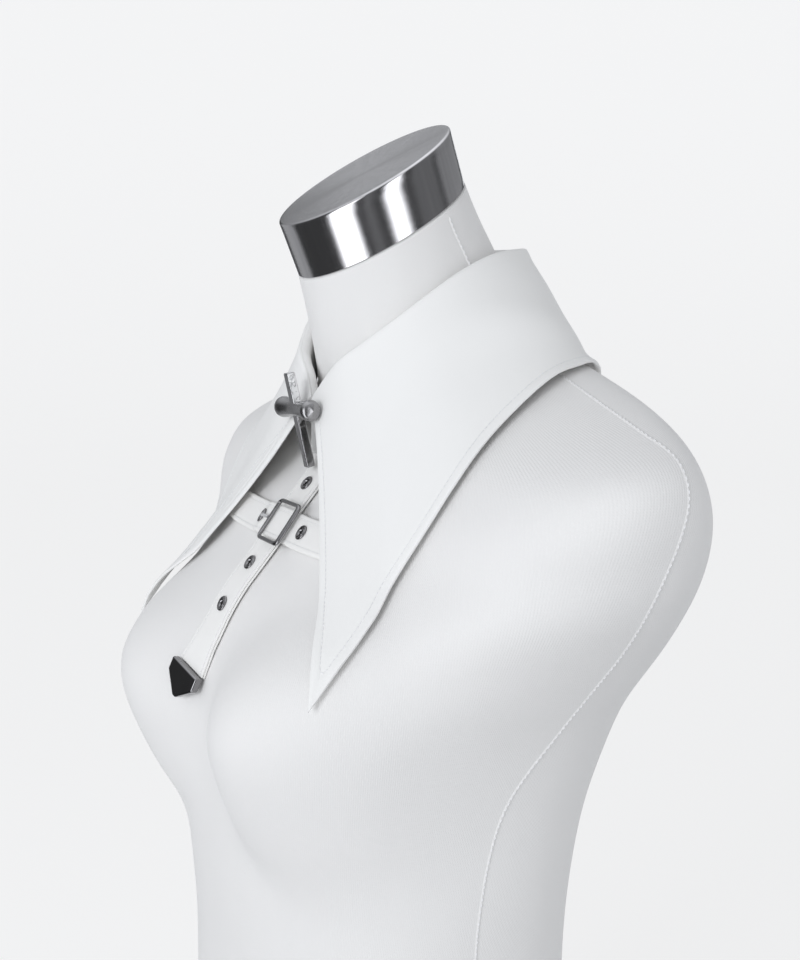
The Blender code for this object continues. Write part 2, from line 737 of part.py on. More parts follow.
def make_cross(finish):
    """An upright of square bar with a flared round arm across it, joined in one solid."""
    lean = math.radians(CROSS_LEAN)
    up = Vector((0, -math.sin(lean), math.cos(lean)))
    front = Vector((0, -math.cos(lean), -math.sin(lean)))
    side = Vector((1, 0, 0))
    centre = at(*CROSS_CENTRE) / MM
    half, deep = CROSS_BAR_WIDTH / 2, CROSS_BAR_DEPTH / 2
    bevel = CROSS_BAR_BEVEL
    section = [
        (-half, -deep), (half, -deep), (half, deep - bevel),
        (half - bevel, deep), (-half + bevel, deep), (-half, deep - bevel),
    ]
    bm = bmesh.new()
    loft(bm, [
        [bm.verts.new((centre + side * x + front * y + up * z) * MM) for x, y in section]
        for z in (-CROSS_BAR_DOWN, CROSS_BAR_UP)
    ])
    bmesh.ops.recalc_face_normals(bm, faces=bm.faces)
    upright = add_object("cross", bm, finish)
    bm = bmesh.new()
    rows = [(-r.along, r.radius) for r in reversed(CROSS_ARM_ROWS)]
    rows += [(r.along, r.radius) for r in CROSS_ARM_ROWS[1:]]
    rings = []
    for along, radius in rows:
        ring = []
        for k in range(ARM_SIDES):
            angle = 2 * math.pi * (k + 0.5) / ARM_SIDES
            ring.append(bm.verts.new(
                (centre + side * along + (front * math.cos(angle) + up * math.sin(angle)) * radius) * MM
            ))
        rings.append(ring)
    loft(bm, rings)
    bmesh.ops.recalc_face_normals(bm, faces=bm.faces)
    arm = add_object("cross_arm", bm, finish)
    join = upright.modifiers.new("join", "BOOLEAN")
    join.operation = "UNION"
    join.solver = "EXACT"
    join.object = arm
    bpy.context.view_layer.update()
    whole = bpy.data.meshes.new_from_object(upright.evaluated_get(bpy.context.evaluated_depsgraph_get()))
    upright.modifiers.clear()
    upright.data = whole
    bpy.data.objects.remove(arm)
    return upright


clear_scene()
jersey = material("form_jersey", (0.80, 0.80, 0.81), 0.85)
steel = material("brushed_steel", (0.62, 0.62, 0.63), 0.3, 1.0)
cloth = material("woven_cotton_white", (0.86, 0.86, 0.87), 0.8)
form = make_form(jersey)
form_surface = surface_of(form)
make_cap(steel)
make_stand(form_surface, cloth)
make_fall(form_surface, cloth)

strap_cloth = material("strap_cotton_white", (0.87, 0.87, 0.87), 0.75)
nickel = material("dark_nickel", (0.30, 0.30, 0.31), 0.25, 1.0)
on_strap = STRAP_WALL / 2 + PIECE_GAP
hanging = hanging_strap_face(form_surface)
hanging_end = hanging.lengths[-1] - TIP_LENGTH
strap_sheet("hanging_strap", hanging, 0.0, hanging_end, HANGING_EYELETS, strap_cloth)
for number, along in enumerate(HANGING_EYELETS, 1):
    make_eyelet(f"eyelet_hanging_{number}", hanging, along, on_strap, nickel)
make_tip(hanging, hanging_end, form_surface, nickel)
chest = chest_strap_face(form_surface)
middle = chest.lengths[-1] / 2
strap_sheet("chest_strap", chest, 0.0, chest.lengths[-1], [middle + x for x in CHEST_EYELETS], strap_cloth)
for name, x in zip(("right", "left"), CHEST_EYELETS):
    make_eyelet(f"eyelet_chest_{name}", chest, middle + x, on_strap, nickel)
make_buckle(chest, middle + BUCKLE_X, on_strap, nickel)
make_tongue(chest, middle + BUCKLE_X - BUCKLE_LENGTH / 2 - PIECE_GAP, on_strap + EYELET_RISE, nickel)
make_cross(nickel)
for made in bpy.context.scene.collection.objects:
    made.location.y = CENTRING_Y * MM
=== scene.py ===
# %% [markdown]
# # A detachable shirt collar on a dress form
# A long-pointed white cotton collar with two eyelet straps, a buckle and a cross pin sits on a limbless
# dress form. The construction solids are loaded as a fixed frame, and this script dresses them: finer
# cloth, thread, metal and light. Sizes are millimetres from the base of the neck, as a pattern cutter
# would measure, and become metres when a mesh is written.

# %% Load the frame and set the units
import math
from collections import namedtuple

import bmesh
import bpy
import numpy as np
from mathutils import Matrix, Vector
from mathutils.bvhtree import BVHTree
from mathutils.geometry import delaunay_2d_cdt


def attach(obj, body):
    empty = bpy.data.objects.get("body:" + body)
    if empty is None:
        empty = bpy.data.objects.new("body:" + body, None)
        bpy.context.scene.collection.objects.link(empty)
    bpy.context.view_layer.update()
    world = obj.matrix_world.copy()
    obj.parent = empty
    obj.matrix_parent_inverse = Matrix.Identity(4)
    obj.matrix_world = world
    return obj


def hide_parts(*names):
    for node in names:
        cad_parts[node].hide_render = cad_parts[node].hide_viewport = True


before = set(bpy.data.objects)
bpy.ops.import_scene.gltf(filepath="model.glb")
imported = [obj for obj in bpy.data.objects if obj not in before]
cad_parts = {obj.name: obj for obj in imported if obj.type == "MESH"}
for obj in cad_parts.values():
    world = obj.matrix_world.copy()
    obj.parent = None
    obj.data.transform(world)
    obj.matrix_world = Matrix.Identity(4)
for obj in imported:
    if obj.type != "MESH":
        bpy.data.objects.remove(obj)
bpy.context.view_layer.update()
MM = 0.001
NECK_BASE = Vector((0.0, 22.65, 540.0))


def to_metres(points):
    """Points in millimetres from the neck's base, as metres above the floor."""
    return (np.asarray(points, float).reshape(-1, 3) + np.array(NECK_BASE)) * MM


# %% [markdown]
# ## The camera
# The picture is taken from the form's left front, a little above chest height, close enough for the
# frame's lower edge to cut the torso. The camera is placed by its distance, turn and height from the
# point that it looks at, so that each number is one that a photographer would read off a tripod.

# %% Camera
CAMERA_TURN = 61.0
CAMERA_RISE = 7.4
CAMERA_DISTANCE = 750.0
CAMERA_LENS = 52.5
CAMERA_TARGET = Vector((0.0, -14.0, -54.0))


def linked(name, data):
    """A new object in the scene that shows the mesh, lens or light."""
    made = bpy.data.objects.new(name, data)
    bpy.context.scene.collection.objects.link(made)
    return made


def make_camera():
    turn, rise = math.radians(CAMERA_TURN), math.radians(CAMERA_RISE)
    back = Vector((math.sin(turn) * math.cos(rise), -math.cos(turn) * math.cos(rise), math.sin(rise)))
    lens = bpy.data.cameras.new("photo_camera")
    lens.lens = CAMERA_LENS
    camera = linked("photo_camera", lens)
    camera.location = (CAMERA_TARGET + NECK_BASE + back * CAMERA_DISTANCE) * MM
    camera.rotation_euler = (-back).to_track_quat("-Z", "Y").to_euler()
    bpy.context.scene.camera = camera
    print("camera at", [round(v, 3) for v in camera.location])


make_camera()

# %% [markdown]
# ## A way to write shader maths
# A material is a network of small nodes. Wiring every Math node by hand hides the idea, so a socket is
# wrapped in a small class that understands plus, minus, times and divide. A sum written in Python then
# builds its own nodes.

# %% Shader sockets as numbers
class Value:
    """A shader socket that can be used in Python sums. Each sum adds one Math node."""

    def __init__(self, tree, socket):
        self.tree = tree
        self.socket = socket

    def maths(self, operation, *others, first=None):
        node = self.tree.nodes.new("ShaderNodeMath")
        node.operation = operation
        items = [self, *others] if first is None else [first, self]
        for slot, item in zip(node.inputs, items):
            plug(self.tree, slot, item)
        return Value(self.tree, node.outputs[0])

    def __add__(self, other):
        return self.maths("ADD", other)

    __radd__ = __add__

    def __mul__(self, other):
        return self.maths("MULTIPLY", other)

    __rmul__ = __mul__

    def __sub__(self, other):
        return self.maths("SUBTRACT", other)

    def __rsub__(self, other):
        return self.maths("SUBTRACT", first=other)

    def __truediv__(self, other):
        return self.maths("DIVIDE", other)

    def sine(self):
        return self.maths("SINE")

    def size(self):
        return self.maths("ABSOLUTE")

    def at_least(self, floor):
        return self.maths("MAXIMUM", floor)

    def at_most(self, ceiling):
        return self.maths("MINIMUM", ceiling)

    def near(self, place, reach):
        """1 where this value is at the place, falling smoothly to 0 at the reach on either side."""
        inside = (1.0 - (self - place).size() / reach).at_least(0.0)
        return inside * inside


def plug(tree, slot, item):
    """Link a value or a socket into a slot, or set the slot to a plain number or colour."""
    if isinstance(item, Value):
        tree.links.new(item.socket, slot)
    elif isinstance(item, bpy.types.NodeSocket):
        tree.links.new(item, slot)
    elif isinstance(item, tuple) and len(item) == 3 and slot.type == "RGBA":
        slot.default_value = (*item, 1.0)
    else:
        slot.default_value = item


class Network:
    """A shader node tree, and one method that adds any node to it."""

    def __init__(self, tree):
        self.tree = tree

    def node(self, kind, settings=None, output=0, **values):
        made = self.tree.nodes.new(kind)
        for key, value in (settings or {}).items():
            setattr(made, key, value)
        for key, value in values.items():
            slot = made.inputs[int(key[1:])] if key[0] == "_" else made.inputs[key.replace("_", " ").title()]
            plug(self.tree, slot, value)
        return Value(self.tree, made.outputs[output])

    def noise(self, vector, scale, detail=2.0, roughness=0.5):
        return self.node("ShaderNodeTexNoise", vector=vector, scale=scale, detail=detail, roughness=roughness)

    def mix(self, share, one, other):
        """A colour between two colours."""
        return self.node("ShaderNodeMix", {"data_type": "RGBA"}, 2, _0=share, _6=one, _7=other)

    def stretched(self, vector, x, y, z):
        return self.node("ShaderNodeVectorMath", {"operation": "MULTIPLY"}, _0=vector, _1=(x, y, z))

    def split(self, vector):
        parts = self.tree.nodes.new("ShaderNodeSeparateXYZ")
        self.tree.links.new(vector.socket, parts.inputs[0])
        return [Value(self.tree, socket) for socket in parts.outputs]


class Finish(Network):
    """A material under construction, round its Principled shader."""

    def __init__(self, name, **plain):
        self.material = bpy.data.materials.new(name)
        self.material.use_nodes = True
        super().__init__(self.material.node_tree)
        self.shader = self.tree.nodes["Principled BSDF"]
        for key, value in plain.items():
            self.set(key.replace("_", " ").title().replace("Ior", "IOR"), value)

    def set(self, name, value):
        plug(self.tree, self.shader.inputs[name], value)

    def place(self):
        """The point's Object coordinates as a vector and as three numbers, in metres."""
        vector = self.node("ShaderNodeTexCoord", output=3)
        return vector, self.split(vector)

    def cloth_place(self):
        """The point's place in the flat cloth, from the UV map, in millimetres."""
        vector = self.node("ShaderNodeUVMap", {"uv_map": "cloth"})
        u, v, _ = self.split(vector)
        return vector, u, v

    def attribute(self, name):
        return self.node("ShaderNodeAttribute", {"attribute_name": name}, output=2)

    def bump(self, height, strength, distance):
        made = self.node("ShaderNodeBump", height=height, strength=strength, distance=distance)
        self.set("Normal", made)


# %% [markdown]
# ## Pressed cotton
# The collar is cut from a smooth, close white cotton, pressed and slightly stiff. Its threads are far
# finer than a pixel here, so what shows is a soft grain, a very slight unevenness of tone, and the ridge
# and groove that sewing leaves beside an edge, with painted shade darkening the groove. The grain follows
# the cloth's own UV map, which holds millimetres of cloth, and the ridge follows an attribute that says
# how far each point lies from the sewn edge.

# %% Cotton and thread
TOPSTITCH_INSET = 4.5
STRAP_STITCH_INSET = 2.2
THREAD_PITCH = 0.62


def cotton(name, colour, inset):
    """White woven cotton with the groove of a row of stitches at the inset from its edge, in millimetres, and painted
    shade darkening that groove.
    """
    finish = Finish(name, roughness=0.78, sheen_weight=0.12, sheen_roughness=0.5)
    vector, u, v = finish.cloth_place()
    edge = finish.attribute("edge")
    threads = (u * (math.tau / THREAD_PITCH)).sine() * (v * (math.tau / THREAD_PITCH)).sine()
    slubs = finish.noise(finish.stretched(vector, 0.5, 5.0, 1.0), 0.6, 3.0)
    cross_slubs = finish.noise(finish.stretched(vector, 5.0, 0.5, 1.0), 0.6, 3.0)
    press = finish.noise(vector, 0.035, 3.0)
    seam = edge.near(inset, 1.1)
    ridge = edge.near(inset * 0.42, 1.7)
    # Painted shade: seam darkens the tone along the stitch groove, where shade falls in the dip.
    tone = press * 0.05 + slubs * 0.04 + cross_slubs * 0.04 + seam * 0.28
    finish.set("Base Color", finish.mix(tone, colour, tuple(c * 0.9 for c in colour)))
    finish.set("Roughness", slubs * 0.10 + 0.72)
    height = threads * 0.05 + (slubs + cross_slubs) * 0.12 + ridge * 0.10 - seam * 0.4
    finish.bump(height, 0.55, 0.0006)
    return finish.material


def sewing_thread():
    finish = Finish("sewing_thread", roughness=0.6, sheen_weight=0.2)
    vector, _ = finish.place()
    finish.set("Base Color", finish.mix(finish.noise(vector, 900.0), (0.86, 0.86, 0.86), (0.76, 0.76, 0.77)))
    return finish.material


collar_cotton = cotton("collar_cotton", (0.90, 0.895, 0.88), TOPSTITCH_INSET)
strap_cotton = cotton("strap_cotton", (0.91, 0.90, 0.88), STRAP_STITCH_INSET)
thread = sewing_thread()

# %% [markdown]
# ## Jersey for the dress form
# The form wears a tight cover of fine white jersey. Its wales run up the body like the lines on a sock,
# closer at the waist and wider over the bust, so the UV map counts wales round the body instead of
# millimetres. Stretched knit has a matte, slightly furry surface with tiny pills, and no shine.

# %% Jersey
WALES_ROUND = 900
COURSE_HEIGHT = 1.2


def jersey():
    finish = Finish("form_jersey", roughness=0.9, sheen_weight=0.25, sheen_roughness=0.6)
    vector, _ = finish.place()
    _, wale, course = finish.cloth_place()
    ribs = (wale * math.tau).sine()
    loops = (wale * math.tau + course * (math.tau / COURSE_HEIGHT)).sine()
    fuzz = finish.noise(vector, 1400.0, 3.0)
    cloudy = finish.noise(vector, 14.0, 3.0)
    pills = finish.noise(vector, 260.0, 1.0).near(0.82, 0.13)
    laddered = (ribs * 0.5 + 0.5) * finish.noise(finish.stretched(vector, 60.0, 60.0, 9.0), 1.0, 2.0)
    tone = cloudy * 0.36 + fuzz * 0.24 + laddered * 0.16
    finish.set("Base Color", finish.mix(tone, (0.86, 0.85, 0.835), (0.79, 0.78, 0.775)))
    finish.bump(laddered * 0.7 + loops * 0.08 + fuzz * 0.45 + pills * 0.6, 0.46, 0.0003)
    return finish.material


form_jersey = jersey()

# %% [markdown]
# ## Metals
# The neck cap is turned steel, rubbed round and round with abrasive, so its lines run along the side and
# in circles on the top. The fittings are dark polished nickel: a black, deep mirror with faint smears.
# The cross's arm is duller, its upright is hammered and carries a painted highlight at one side, and the
# buckle's pin has a near-white colour that is a painted highlight. Metal shows mostly what stands round
# it, so the finishes stay simple and the studio does the rest.

# %% Steel and nickel
def brushed_steel():
    finish = Finish("brushed_steel", metallic=1.0)
    vector, _, _ = finish.cloth_place()
    lines = finish.noise(finish.stretched(vector, 0.012, 9.0, 1.0), 1.0, 4.0, 0.7)
    broad = finish.noise(finish.stretched(vector, 0.01, 0.8, 1.0), 1.0, 2.0)
    streaks = finish.noise(finish.stretched(vector, 0.30, 0.012, 1.0), 1.0, 3.0)
    finish.set("Base Color", finish.mix(lines * 0.5 + streaks * 0.6, (0.44, 0.43, 0.44), (0.70, 0.69, 0.70)))
    finish.set("Roughness", lines * 0.08 + broad * 0.05 + 0.07)
    finish.bump(lines, 0.10, 0.0002)
    return finish.material


def dark_nickel(name, colour, hammer, roughness, metallic=1.0):
    finish = Finish(name, metallic=metallic)
    vector, _ = finish.place()
    smear = finish.noise(vector, 120.0, 3.0)
    dents = finish.noise(vector, 420.0, 1.0)
    finish.set("Base Color", finish.mix(smear, colour, tuple(c * 0.78 for c in colour)))
    finish.set("Roughness", smear * 0.10 + roughness)
    finish.bump(dents, hammer, 0.0006)
    return finish.material


def hammered():
    """The cross's square bar: dark in front, where it is hammered, with a painted highlight at its left side."""
    finish = Finish("hammered_nickel", metallic=1.0)
    vector, _ = finish.place()
    side = finish.attribute("edge")
    dents = finish.noise(vector, 420.0, 1.0)
    # Painted highlight: the side that faces +x is lightened nearly to white and made less metallic, speckled where
    # the dents are.
    painted_highlight = side * (1.0 - dents.near(0.40, 0.09))
    finish.set("Base Color", finish.mix(painted_highlight, (0.30, 0.295, 0.30), (0.92, 0.92, 0.92)))
    finish.set("Metallic", 1.0 - side * 0.4)
    finish.set("Roughness", side * 0.10 + 0.10)
    finish.bump(dents, 0.40, 0.0006)
    return finish.material


steel = brushed_steel()
nickel = dark_nickel("dark_nickel", (0.28, 0.275, 0.28), 0.03, 0.05)
matte_nickel = dark_nickel("matte_nickel", (0.36, 0.355, 0.36), 0.06, 0.22)
hammered_nickel = hammered()
# The pin is the same nickel given a near-white colour, a painted highlight.
pin_nickel = dark_nickel("pin_nickel", (0.92, 0.92, 0.93), 0.03, 0.16, 0.6)

# %% [markdown]
# ## Meshes from arrays
# Most pieces here are sheets: a grid of points that is given a thickness. One function writes any mesh
# with its UV map and edge attribute, and another turns a grid into a closed wall with a soft, rounded
# rim, as folded and pressed cloth has.

# %% Mesh helpers
def dressed(piece, slot_name, *nodes):
    """Fix a finished piece to the body and hide the solids that it is shown in place of. slot_name is not used."""
    if nodes:
        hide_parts(*nodes)
    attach(piece, "root")
    return piece


def write_mesh(name, points, faces, finish, cloth=None, edge=None, sharp=50.0):
    """One object from points in millimetres, with its cloth coordinates and its distance from the sewn edge."""
    mesh = bpy.data.meshes.new(name)
    mesh.from_pydata([tuple(p) for p in to_metres(points)], [], [tuple(int(k) for k in f) for f in faces])
    if cloth is not None:
        layer = mesh.uv_layers.new(name="cloth")
        corners = np.zeros(len(mesh.loops), np.int32)
        mesh.loops.foreach_get("vertex_index", corners)
        layer.data.foreach_set("uv", np.asarray(cloth, np.float32)[corners].ravel())
    if edge is not None:
        made = mesh.attributes.new("edge", "FLOAT", "POINT")
        made.data.foreach_set("value", np.asarray(edge, np.float32).ravel())
    bm = bmesh.new()
    bm.from_mesh(mesh)
    bmesh.ops.recalc_face_normals(bm, faces=bm.faces)
    bm.to_mesh(mesh)
    bm.free()
    mesh.shade_smooth()
    mesh.set_sharp_from_angle(angle=math.radians(sharp))
    mesh.materials.append(finish)
    return linked(name, mesh)


def plain_mesh(made):
    """Turn an object's modifiers into its own mesh."""
    evaluated = made.evaluated_get(bpy.context.evaluated_depsgraph_get())
    mesh = bpy.data.meshes.new_from_object(evaluated)
    made.modifiers.clear()
    made.data = mesh
    return made


def circle(sides, shift=0.0):
    """The cosine and sine of each of the equal steps round a circle."""
    turns = [math.tau * (k + shift) / sides for k in range(sides)]
    return [(math.cos(turn), math.sin(turn)) for turn in turns]


def lengths_along(line):
    """The length of a line of points up to each of them."""
    return np.concatenate([[0], np.cumsum(np.linalg.norm(np.diff(line, axis=0), axis=1))])


def unit(vectors):
    return vectors / np.maximum(np.linalg.norm(vectors, axis=-1, keepdims=True), 1e-9)


def grid_normals(grid):
    return unit(np.cross(np.gradient(grid, axis=0), np.gradient(grid, axis=1)))


def spline_at(rows, places):
    """Rows of numbers read at fractional places, on a smooth curve through all of them."""
    rows = np.asarray(rows, float)
    last = len(rows) - 1
    i = np.clip(np.floor(places).astype(int), 0, last - 1)
    s = (places - i).reshape((-1,) + (1,) * (rows.ndim - 1))
    before, a, b, after = (rows[np.clip(i + k, 0, last)] for k in (-1, 0, 1, 2))
    return 0.5 * (2 * a + (b - before) * s + (2 * before - 5 * a + 4 * b - after) * s ** 2
                  + (3 * a - before - 3 * b + after) * s ** 3)


def resampled(grid, along, across):
    finer = spline_at(grid, along)
    return np.swapaxes(spline_at(np.swapaxes(finer, 0, 1), across), 0, 1)


def rim_of(wide, long):
    """The grid places round the border, in order."""
    rim = [(i, 0) for i in range(wide - 1)] + [(wide - 1, j) for j in range(long - 1)]
    return rim + [(i, long - 1) for i in range(wide - 1, 0, -1)] + [(0, j) for j in range(long - 1, 0, -1)]


def walled(name, grid, half, finish, cloth, edge, roundness=0.5):
    """A closed wall round a grid of middle points. half is the half thickness at each point."""
    wide, long = grid.shape[:2]
    normals = grid_normals(grid)
    front, back = grid + normals * half[..., None], grid - normals * half[..., None]
    rim = rim_of(wide, long)
    lip = []
    for i, j in rim:
        inside = grid[min(max(i, 1), wide - 2), min(max(j, 1), long - 2)]
        lip.append(grid[i, j] + unit(grid[i, j] - inside) * half[i, j] * roundness)
    points = np.vstack([front.reshape(-1, 3), back.reshape(-1, 3), np.array(lip)])
    count = wide * long
    index = np.arange(count).reshape(wide, long)
    a, b, c, d = index[:-1, :-1], index[1:, :-1], index[1:, 1:], index[:-1, 1:]
    faces = [tuple(f) for f in np.stack([a, b, c, d], -1).reshape(-1, 4)]
    faces += [tuple(f) for f in (np.stack([a, d, c, b], -1) + count).reshape(-1, 4)]
    for k, (i, j) in enumerate(rim):
        n = (k + 1) % len(rim)
        here, there = index[i, j], index[rim[n]]
        faces.append((there, here, 2 * count + k, 2 * count + n))
        faces.append((2 * count + n, 2 * count + k, here + count, there + count))
    rim_rows = [index[place] for place in rim]
    flat, far = (np.concatenate([v, v, v[rim_rows]]) for v in (cloth.reshape(-1, 2), edge.reshape(-1)))
    return write_mesh(name, points, faces, finish, flat, far)


# %% [markdown]
# ## The dress form
# The form's solid is already the right shape, but it has flat facets. A copy has its doubled points
# merged and its triangles joined back to quads, and then a Subdivision Surface rounds it. The base and
# the neck's top keep crisp rims through edge creases. The knit's wales are counted round the body as a UV
# map, joined at the centre of the back.

# %% Form
FORM_LEVELS = 2
RIM_FOLD = math.radians(50)
NECK_TOP_TILT = math.radians(32.5)
neck_way = Vector((0, -math.sin(NECK_TOP_TILT), math.cos(NECK_TOP_TILT)))


def smooth_copy(node, levels):
    """A rounded copy of a construction node, with its sharp rims creased."""
    bm = bmesh.new()
    bm.from_mesh(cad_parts[node].data)
    bmesh.ops.remove_doubles(bm, verts=bm.verts, dist=1e-6)
    for way, least in ((Vector((0, 0, -1)), 0.999), (neck_way, 0.9999)):
        bmesh.ops.dissolve_faces(bm, faces=[f for f in bm.faces if f.normal.dot(way) > least])
    triangles = [f for f in bm.faces if len(f.verts) == 3]
    bmesh.ops.join_triangles(bm, faces=triangles, angle_face_threshold=1.2, angle_shape_threshold=3.1)
    crease = bm.edges.layers.float.new("crease_edge")
    for e in bm.edges:
        if e.calc_face_angle(0.0) > RIM_FOLD and max(len(f.verts) for f in e.link_faces) > 8:
            e[crease] = 1.0
    mesh = bpy.data.meshes.new("form_cover")
    bm.to_mesh(mesh)
    bm.free()
    made = linked("form_cover", mesh)
    rounder = made.modifiers.new("rounder", "SUBSURF")
    rounder.levels = levels
    rounder.render_levels = levels
    return plain_mesh(made)


# Heights up the body and how far its middle lies behind the base of the neck at each, for counting wales round it.
MIDDLE_HEIGHTS = (-540, -430, -290, -155, -70, -12, 27, 78)
MIDDLE_PLACES = (-24, -27, -28, -12, -2, 4, -6, -25)


def count_wales(made):
    """A UV map that counts wales round the body and millimetres up it."""
    mesh = made.data
    layer = mesh.uv_layers.new(name="cloth")
    co = np.zeros(len(mesh.vertices) * 3)
    mesh.vertices.foreach_get("co", co)
    co = co.reshape(-1, 3) / MM - np.array(NECK_BASE)
    middle = np.interp(co[:, 2], MIDDLE_HEIGHTS, MIDDLE_PLACES)
    turn = np.arctan2(co[:, 0], -(co[:, 1] - middle)) / math.tau
    for face in mesh.polygons:
        turns = turn[list(face.vertices)]
        wrap = turns.max() - turns.min() > 0.5
        for loop, vertex, t in zip(face.loop_indices, face.vertices, turns):
            t = t + 1.0 if wrap and t < 0 else t
            layer.data[loop].uv = (t * WALES_ROUND, co[vertex, 2])


form = smooth_copy("form_body", FORM_LEVELS)
count_wales(form)
form.data.shade_smooth()
form.data.set_sharp_from_angle(angle=RIM_FOLD)
form.data.materials.clear()
form.data.materials.append(form_jersey)
dressed(form, "form_jersey", "form_body")
print("form faces", len(form.data.polygons))

# %% Nearest points on the form
def millimetre_tree(mesh):
    """A nearest-point tree in millimetres from the neck's base."""
    corners = [v.co / MM - NECK_BASE for v in mesh.vertices]
    return BVHTree.FromPolygons(corners, [p.vertices[:] for p in mesh.polygons])


surface = millimetre_tree(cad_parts["form_body"].data)
smooth_surface = millimetre_tree(form.data)


def short_of(point, distance):
    """How much nearer to the form than the distance a point lies, and the way out of the form there."""
    place, way_out, _, _ = surface.find_nearest(Vector(point))
    return distance - float((Vector(point) - place).dot(way_out)), np.array(way_out)


# %% [markdown]
# ## The shape of the collar
# A shirt collar is two pieces. The stand is the band round the neck, and the fall is rolled over its top
# and comes down to the long points. Both follow one table: a row for each rib of a leaf, from its front
# edge round to the centre of the back. A rib goes over the fold and down to the outer edge, is kept clear
# of the body, and is relaxed a little between its neighbours, as pressed cloth would settle. The coarse
# ribs are the construction's own, and a spline then reads them as finely as the cloth needs.

# %% Collar ribs
RibRow = namedtuple("RibRow", "fold_x fold_y fold_height edge_x edge_y edge_height sag bow")
LEAF_RIBS = (
    RibRow(2, -64, -8, 112, -122, -137, 6, 5),
    RibRow(13, -61, 4, 114, -105, -116, 6, 3),
    RibRow(23, -59, 12, 112, -89, -99, 6, 1),
    RibRow(33, -54, 19, 109, -77, -83, 5, 0),
    RibRow(48, -41, 33, 115, -64, -60, 4, 0),
    RibRow(54.5, -26.5, 45, 119, -50, -38, 3, 0),
    RibRow(56, -9, 56, 117, -28, -16, 2, 0),
    RibRow(50.5, 12.5, 64, 113, 6, 7, 0, 0),
    RibRow(37, 35.5, 67, 99, 39, 10, -2, 0),
    RibRow(19.5, 49.5, 68, 62, 65, -5, -2, 0),
    RibRow(0, 54.5, 68, 0, 72, -14, -2, 0),
)
RIBS_PER_SIDE = 24
LEAF_STEPS = 13
LEAF_WALL = 1.8
NECK_MIDDLE = -8.0
BOW_PEAK = 9.5
SETTLE_SHARE = 0.35
LEAF_CLEARANCE = 3.0
FOLD_RADIUS = 2.8
FOLD_DROP = 2.0
FOLD_ANGLES = (0, 35, 70, 105, 140)
FOLD_POINTS = len(FOLD_ANGLES) + 1
PIECE_GAP = 0.3
SETTLE_ROUNDS = 6
MIRROR = np.array([-1.0, 1.0, 1.0])
NECK_LEAN = math.radians(19.0)
STAND_HEIGHT_FRONT = 24.0
STAND_HEIGHT_BACK = 38.0
STAND_STEPS = 7
STAND_WALL = 1.6
STAND_CLEARANCE = 1.1
STAND_LAP = 9.0
STAND_LAP_STEP = 1.3


def rib_row(t):
    """The table's row at a share of the way from a leaf's front edge to the centre of the back."""
    return RibRow(*spline_at(LEAF_RIBS, np.array([t * (len(LEAF_RIBS) - 1)]))[0])


def fold_frame(row):
    """The fold's top, the way out from the neck and the way up along the stand."""
    top = Vector((row.fold_x, row.fold_y, row.fold_height))
    outward = Vector((row.fold_x, row.fold_y - NECK_MIDDLE, 0)).normalized()
    up = Vector((0, -math.sin(NECK_LEAN), math.cos(NECK_LEAN)))
    return top, outward, (up - outward * up.dot(outward)).normalized()


def leaf_rib(t):
    row = rib_row(t)
    top, outward, up = fold_frame(row)
    centre = top - up * FOLD_RADIUS
    rib = [centre - outward * FOLD_RADIUS - up * FOLD_DROP]
    for degrees in FOLD_ANGLES:
        turn = math.radians(degrees)
        rib.append(centre + (up * math.sin(turn) - outward * math.cos(turn)) * FOLD_RADIUS)
    start, edge = rib[-1], Vector((row.edge_x, row.edge_y, row.edge_height))
    for k in range(1, LEAF_STEPS + 1):
        v = k / LEAF_STEPS
        point = start.lerp(edge, v)
        inward = Vector((-point.x, -point.y, 0)).normalized()
        bow = Vector((row.bow * BOW_PEAK * v ** 3 * (1 - v), 0, 0))
        rib.append(point + inward * row.sag * 4 * v * (1 - v) + bow)
    return np.array(rib)


def pushed_clear(grid, distance, held):
    """Each point past the held ones, moved straight out of the form where it lies nearer than the distance."""
    moved = grid.copy()
    for i, j in np.ndindex(grid.shape[:2]):
        if j >= held:
            short, way_out = short_of(grid[i, j], distance)
            moved[i, j] += way_out * max(short, 0.0)
    return moved


def settled(grid, distance, held):
    """A grid laid clear of the form, each of its inner points drawn a little toward its neighbours."""
    for _ in range(SETTLE_ROUNDS):
        grid = pushed_clear(grid, distance, held)
        middle = (grid[:-2, 1:-1] + grid[2:, 1:-1] + grid[1:-1, :-2] + grid[1:-1, 2:]) / 4
        inner = grid[1:-1, 1:-1] * (1 - SETTLE_SHARE) + middle * SETTLE_SHARE
        grid[1:-1, held:-1] = inner[:, held - 1:]
    return pushed_clear(grid, distance, held)


near_ribs = [leaf_rib(k / RIBS_PER_SIDE) for k in range(RIBS_PER_SIDE + 1)]
all_ribs = np.array(near_ribs + [rib * MIRROR for rib in reversed(near_ribs[:-1])])
fall_coarse = settled(all_ribs, LEAF_CLEARANCE + LEAF_WALL / 2, FOLD_POINTS)
print("fall ribs and steps", fall_coarse.shape[:2])

# %% [markdown]
# ## The fall
# A spline reads the ribs four times as finely as they were laid, and twelve times as finely beside the
# sewn edges, where the cloth turns over its seam allowance. The thickness is not even: it swells over the
# allowance, dips under the stitches and thins at the rim. A few soft troughs, listed in a table, break the
# pressed surface where the cloth turns over the shoulder, and similar ones lie on the far side.

# %% Fall
FINE_NEAR_EDGE = 12
FINE_NEXT = 6
FINE_INSIDE = 4
FOLD_FINE = 5


def fine_places(spans, first, last):
    """Places along a row of spans: first and last say how finely the end spans are cut."""
    cuts = [FINE_INSIDE] * spans
    if first:
        cuts[:2] = [FINE_NEAR_EDGE, FINE_NEXT]
    if last:
        cuts[-2:] = [FINE_NEXT, FINE_NEAR_EDGE]
    return np.array([i + k / n for i, n in enumerate(cuts) for k in range(n)] + [spans], float)


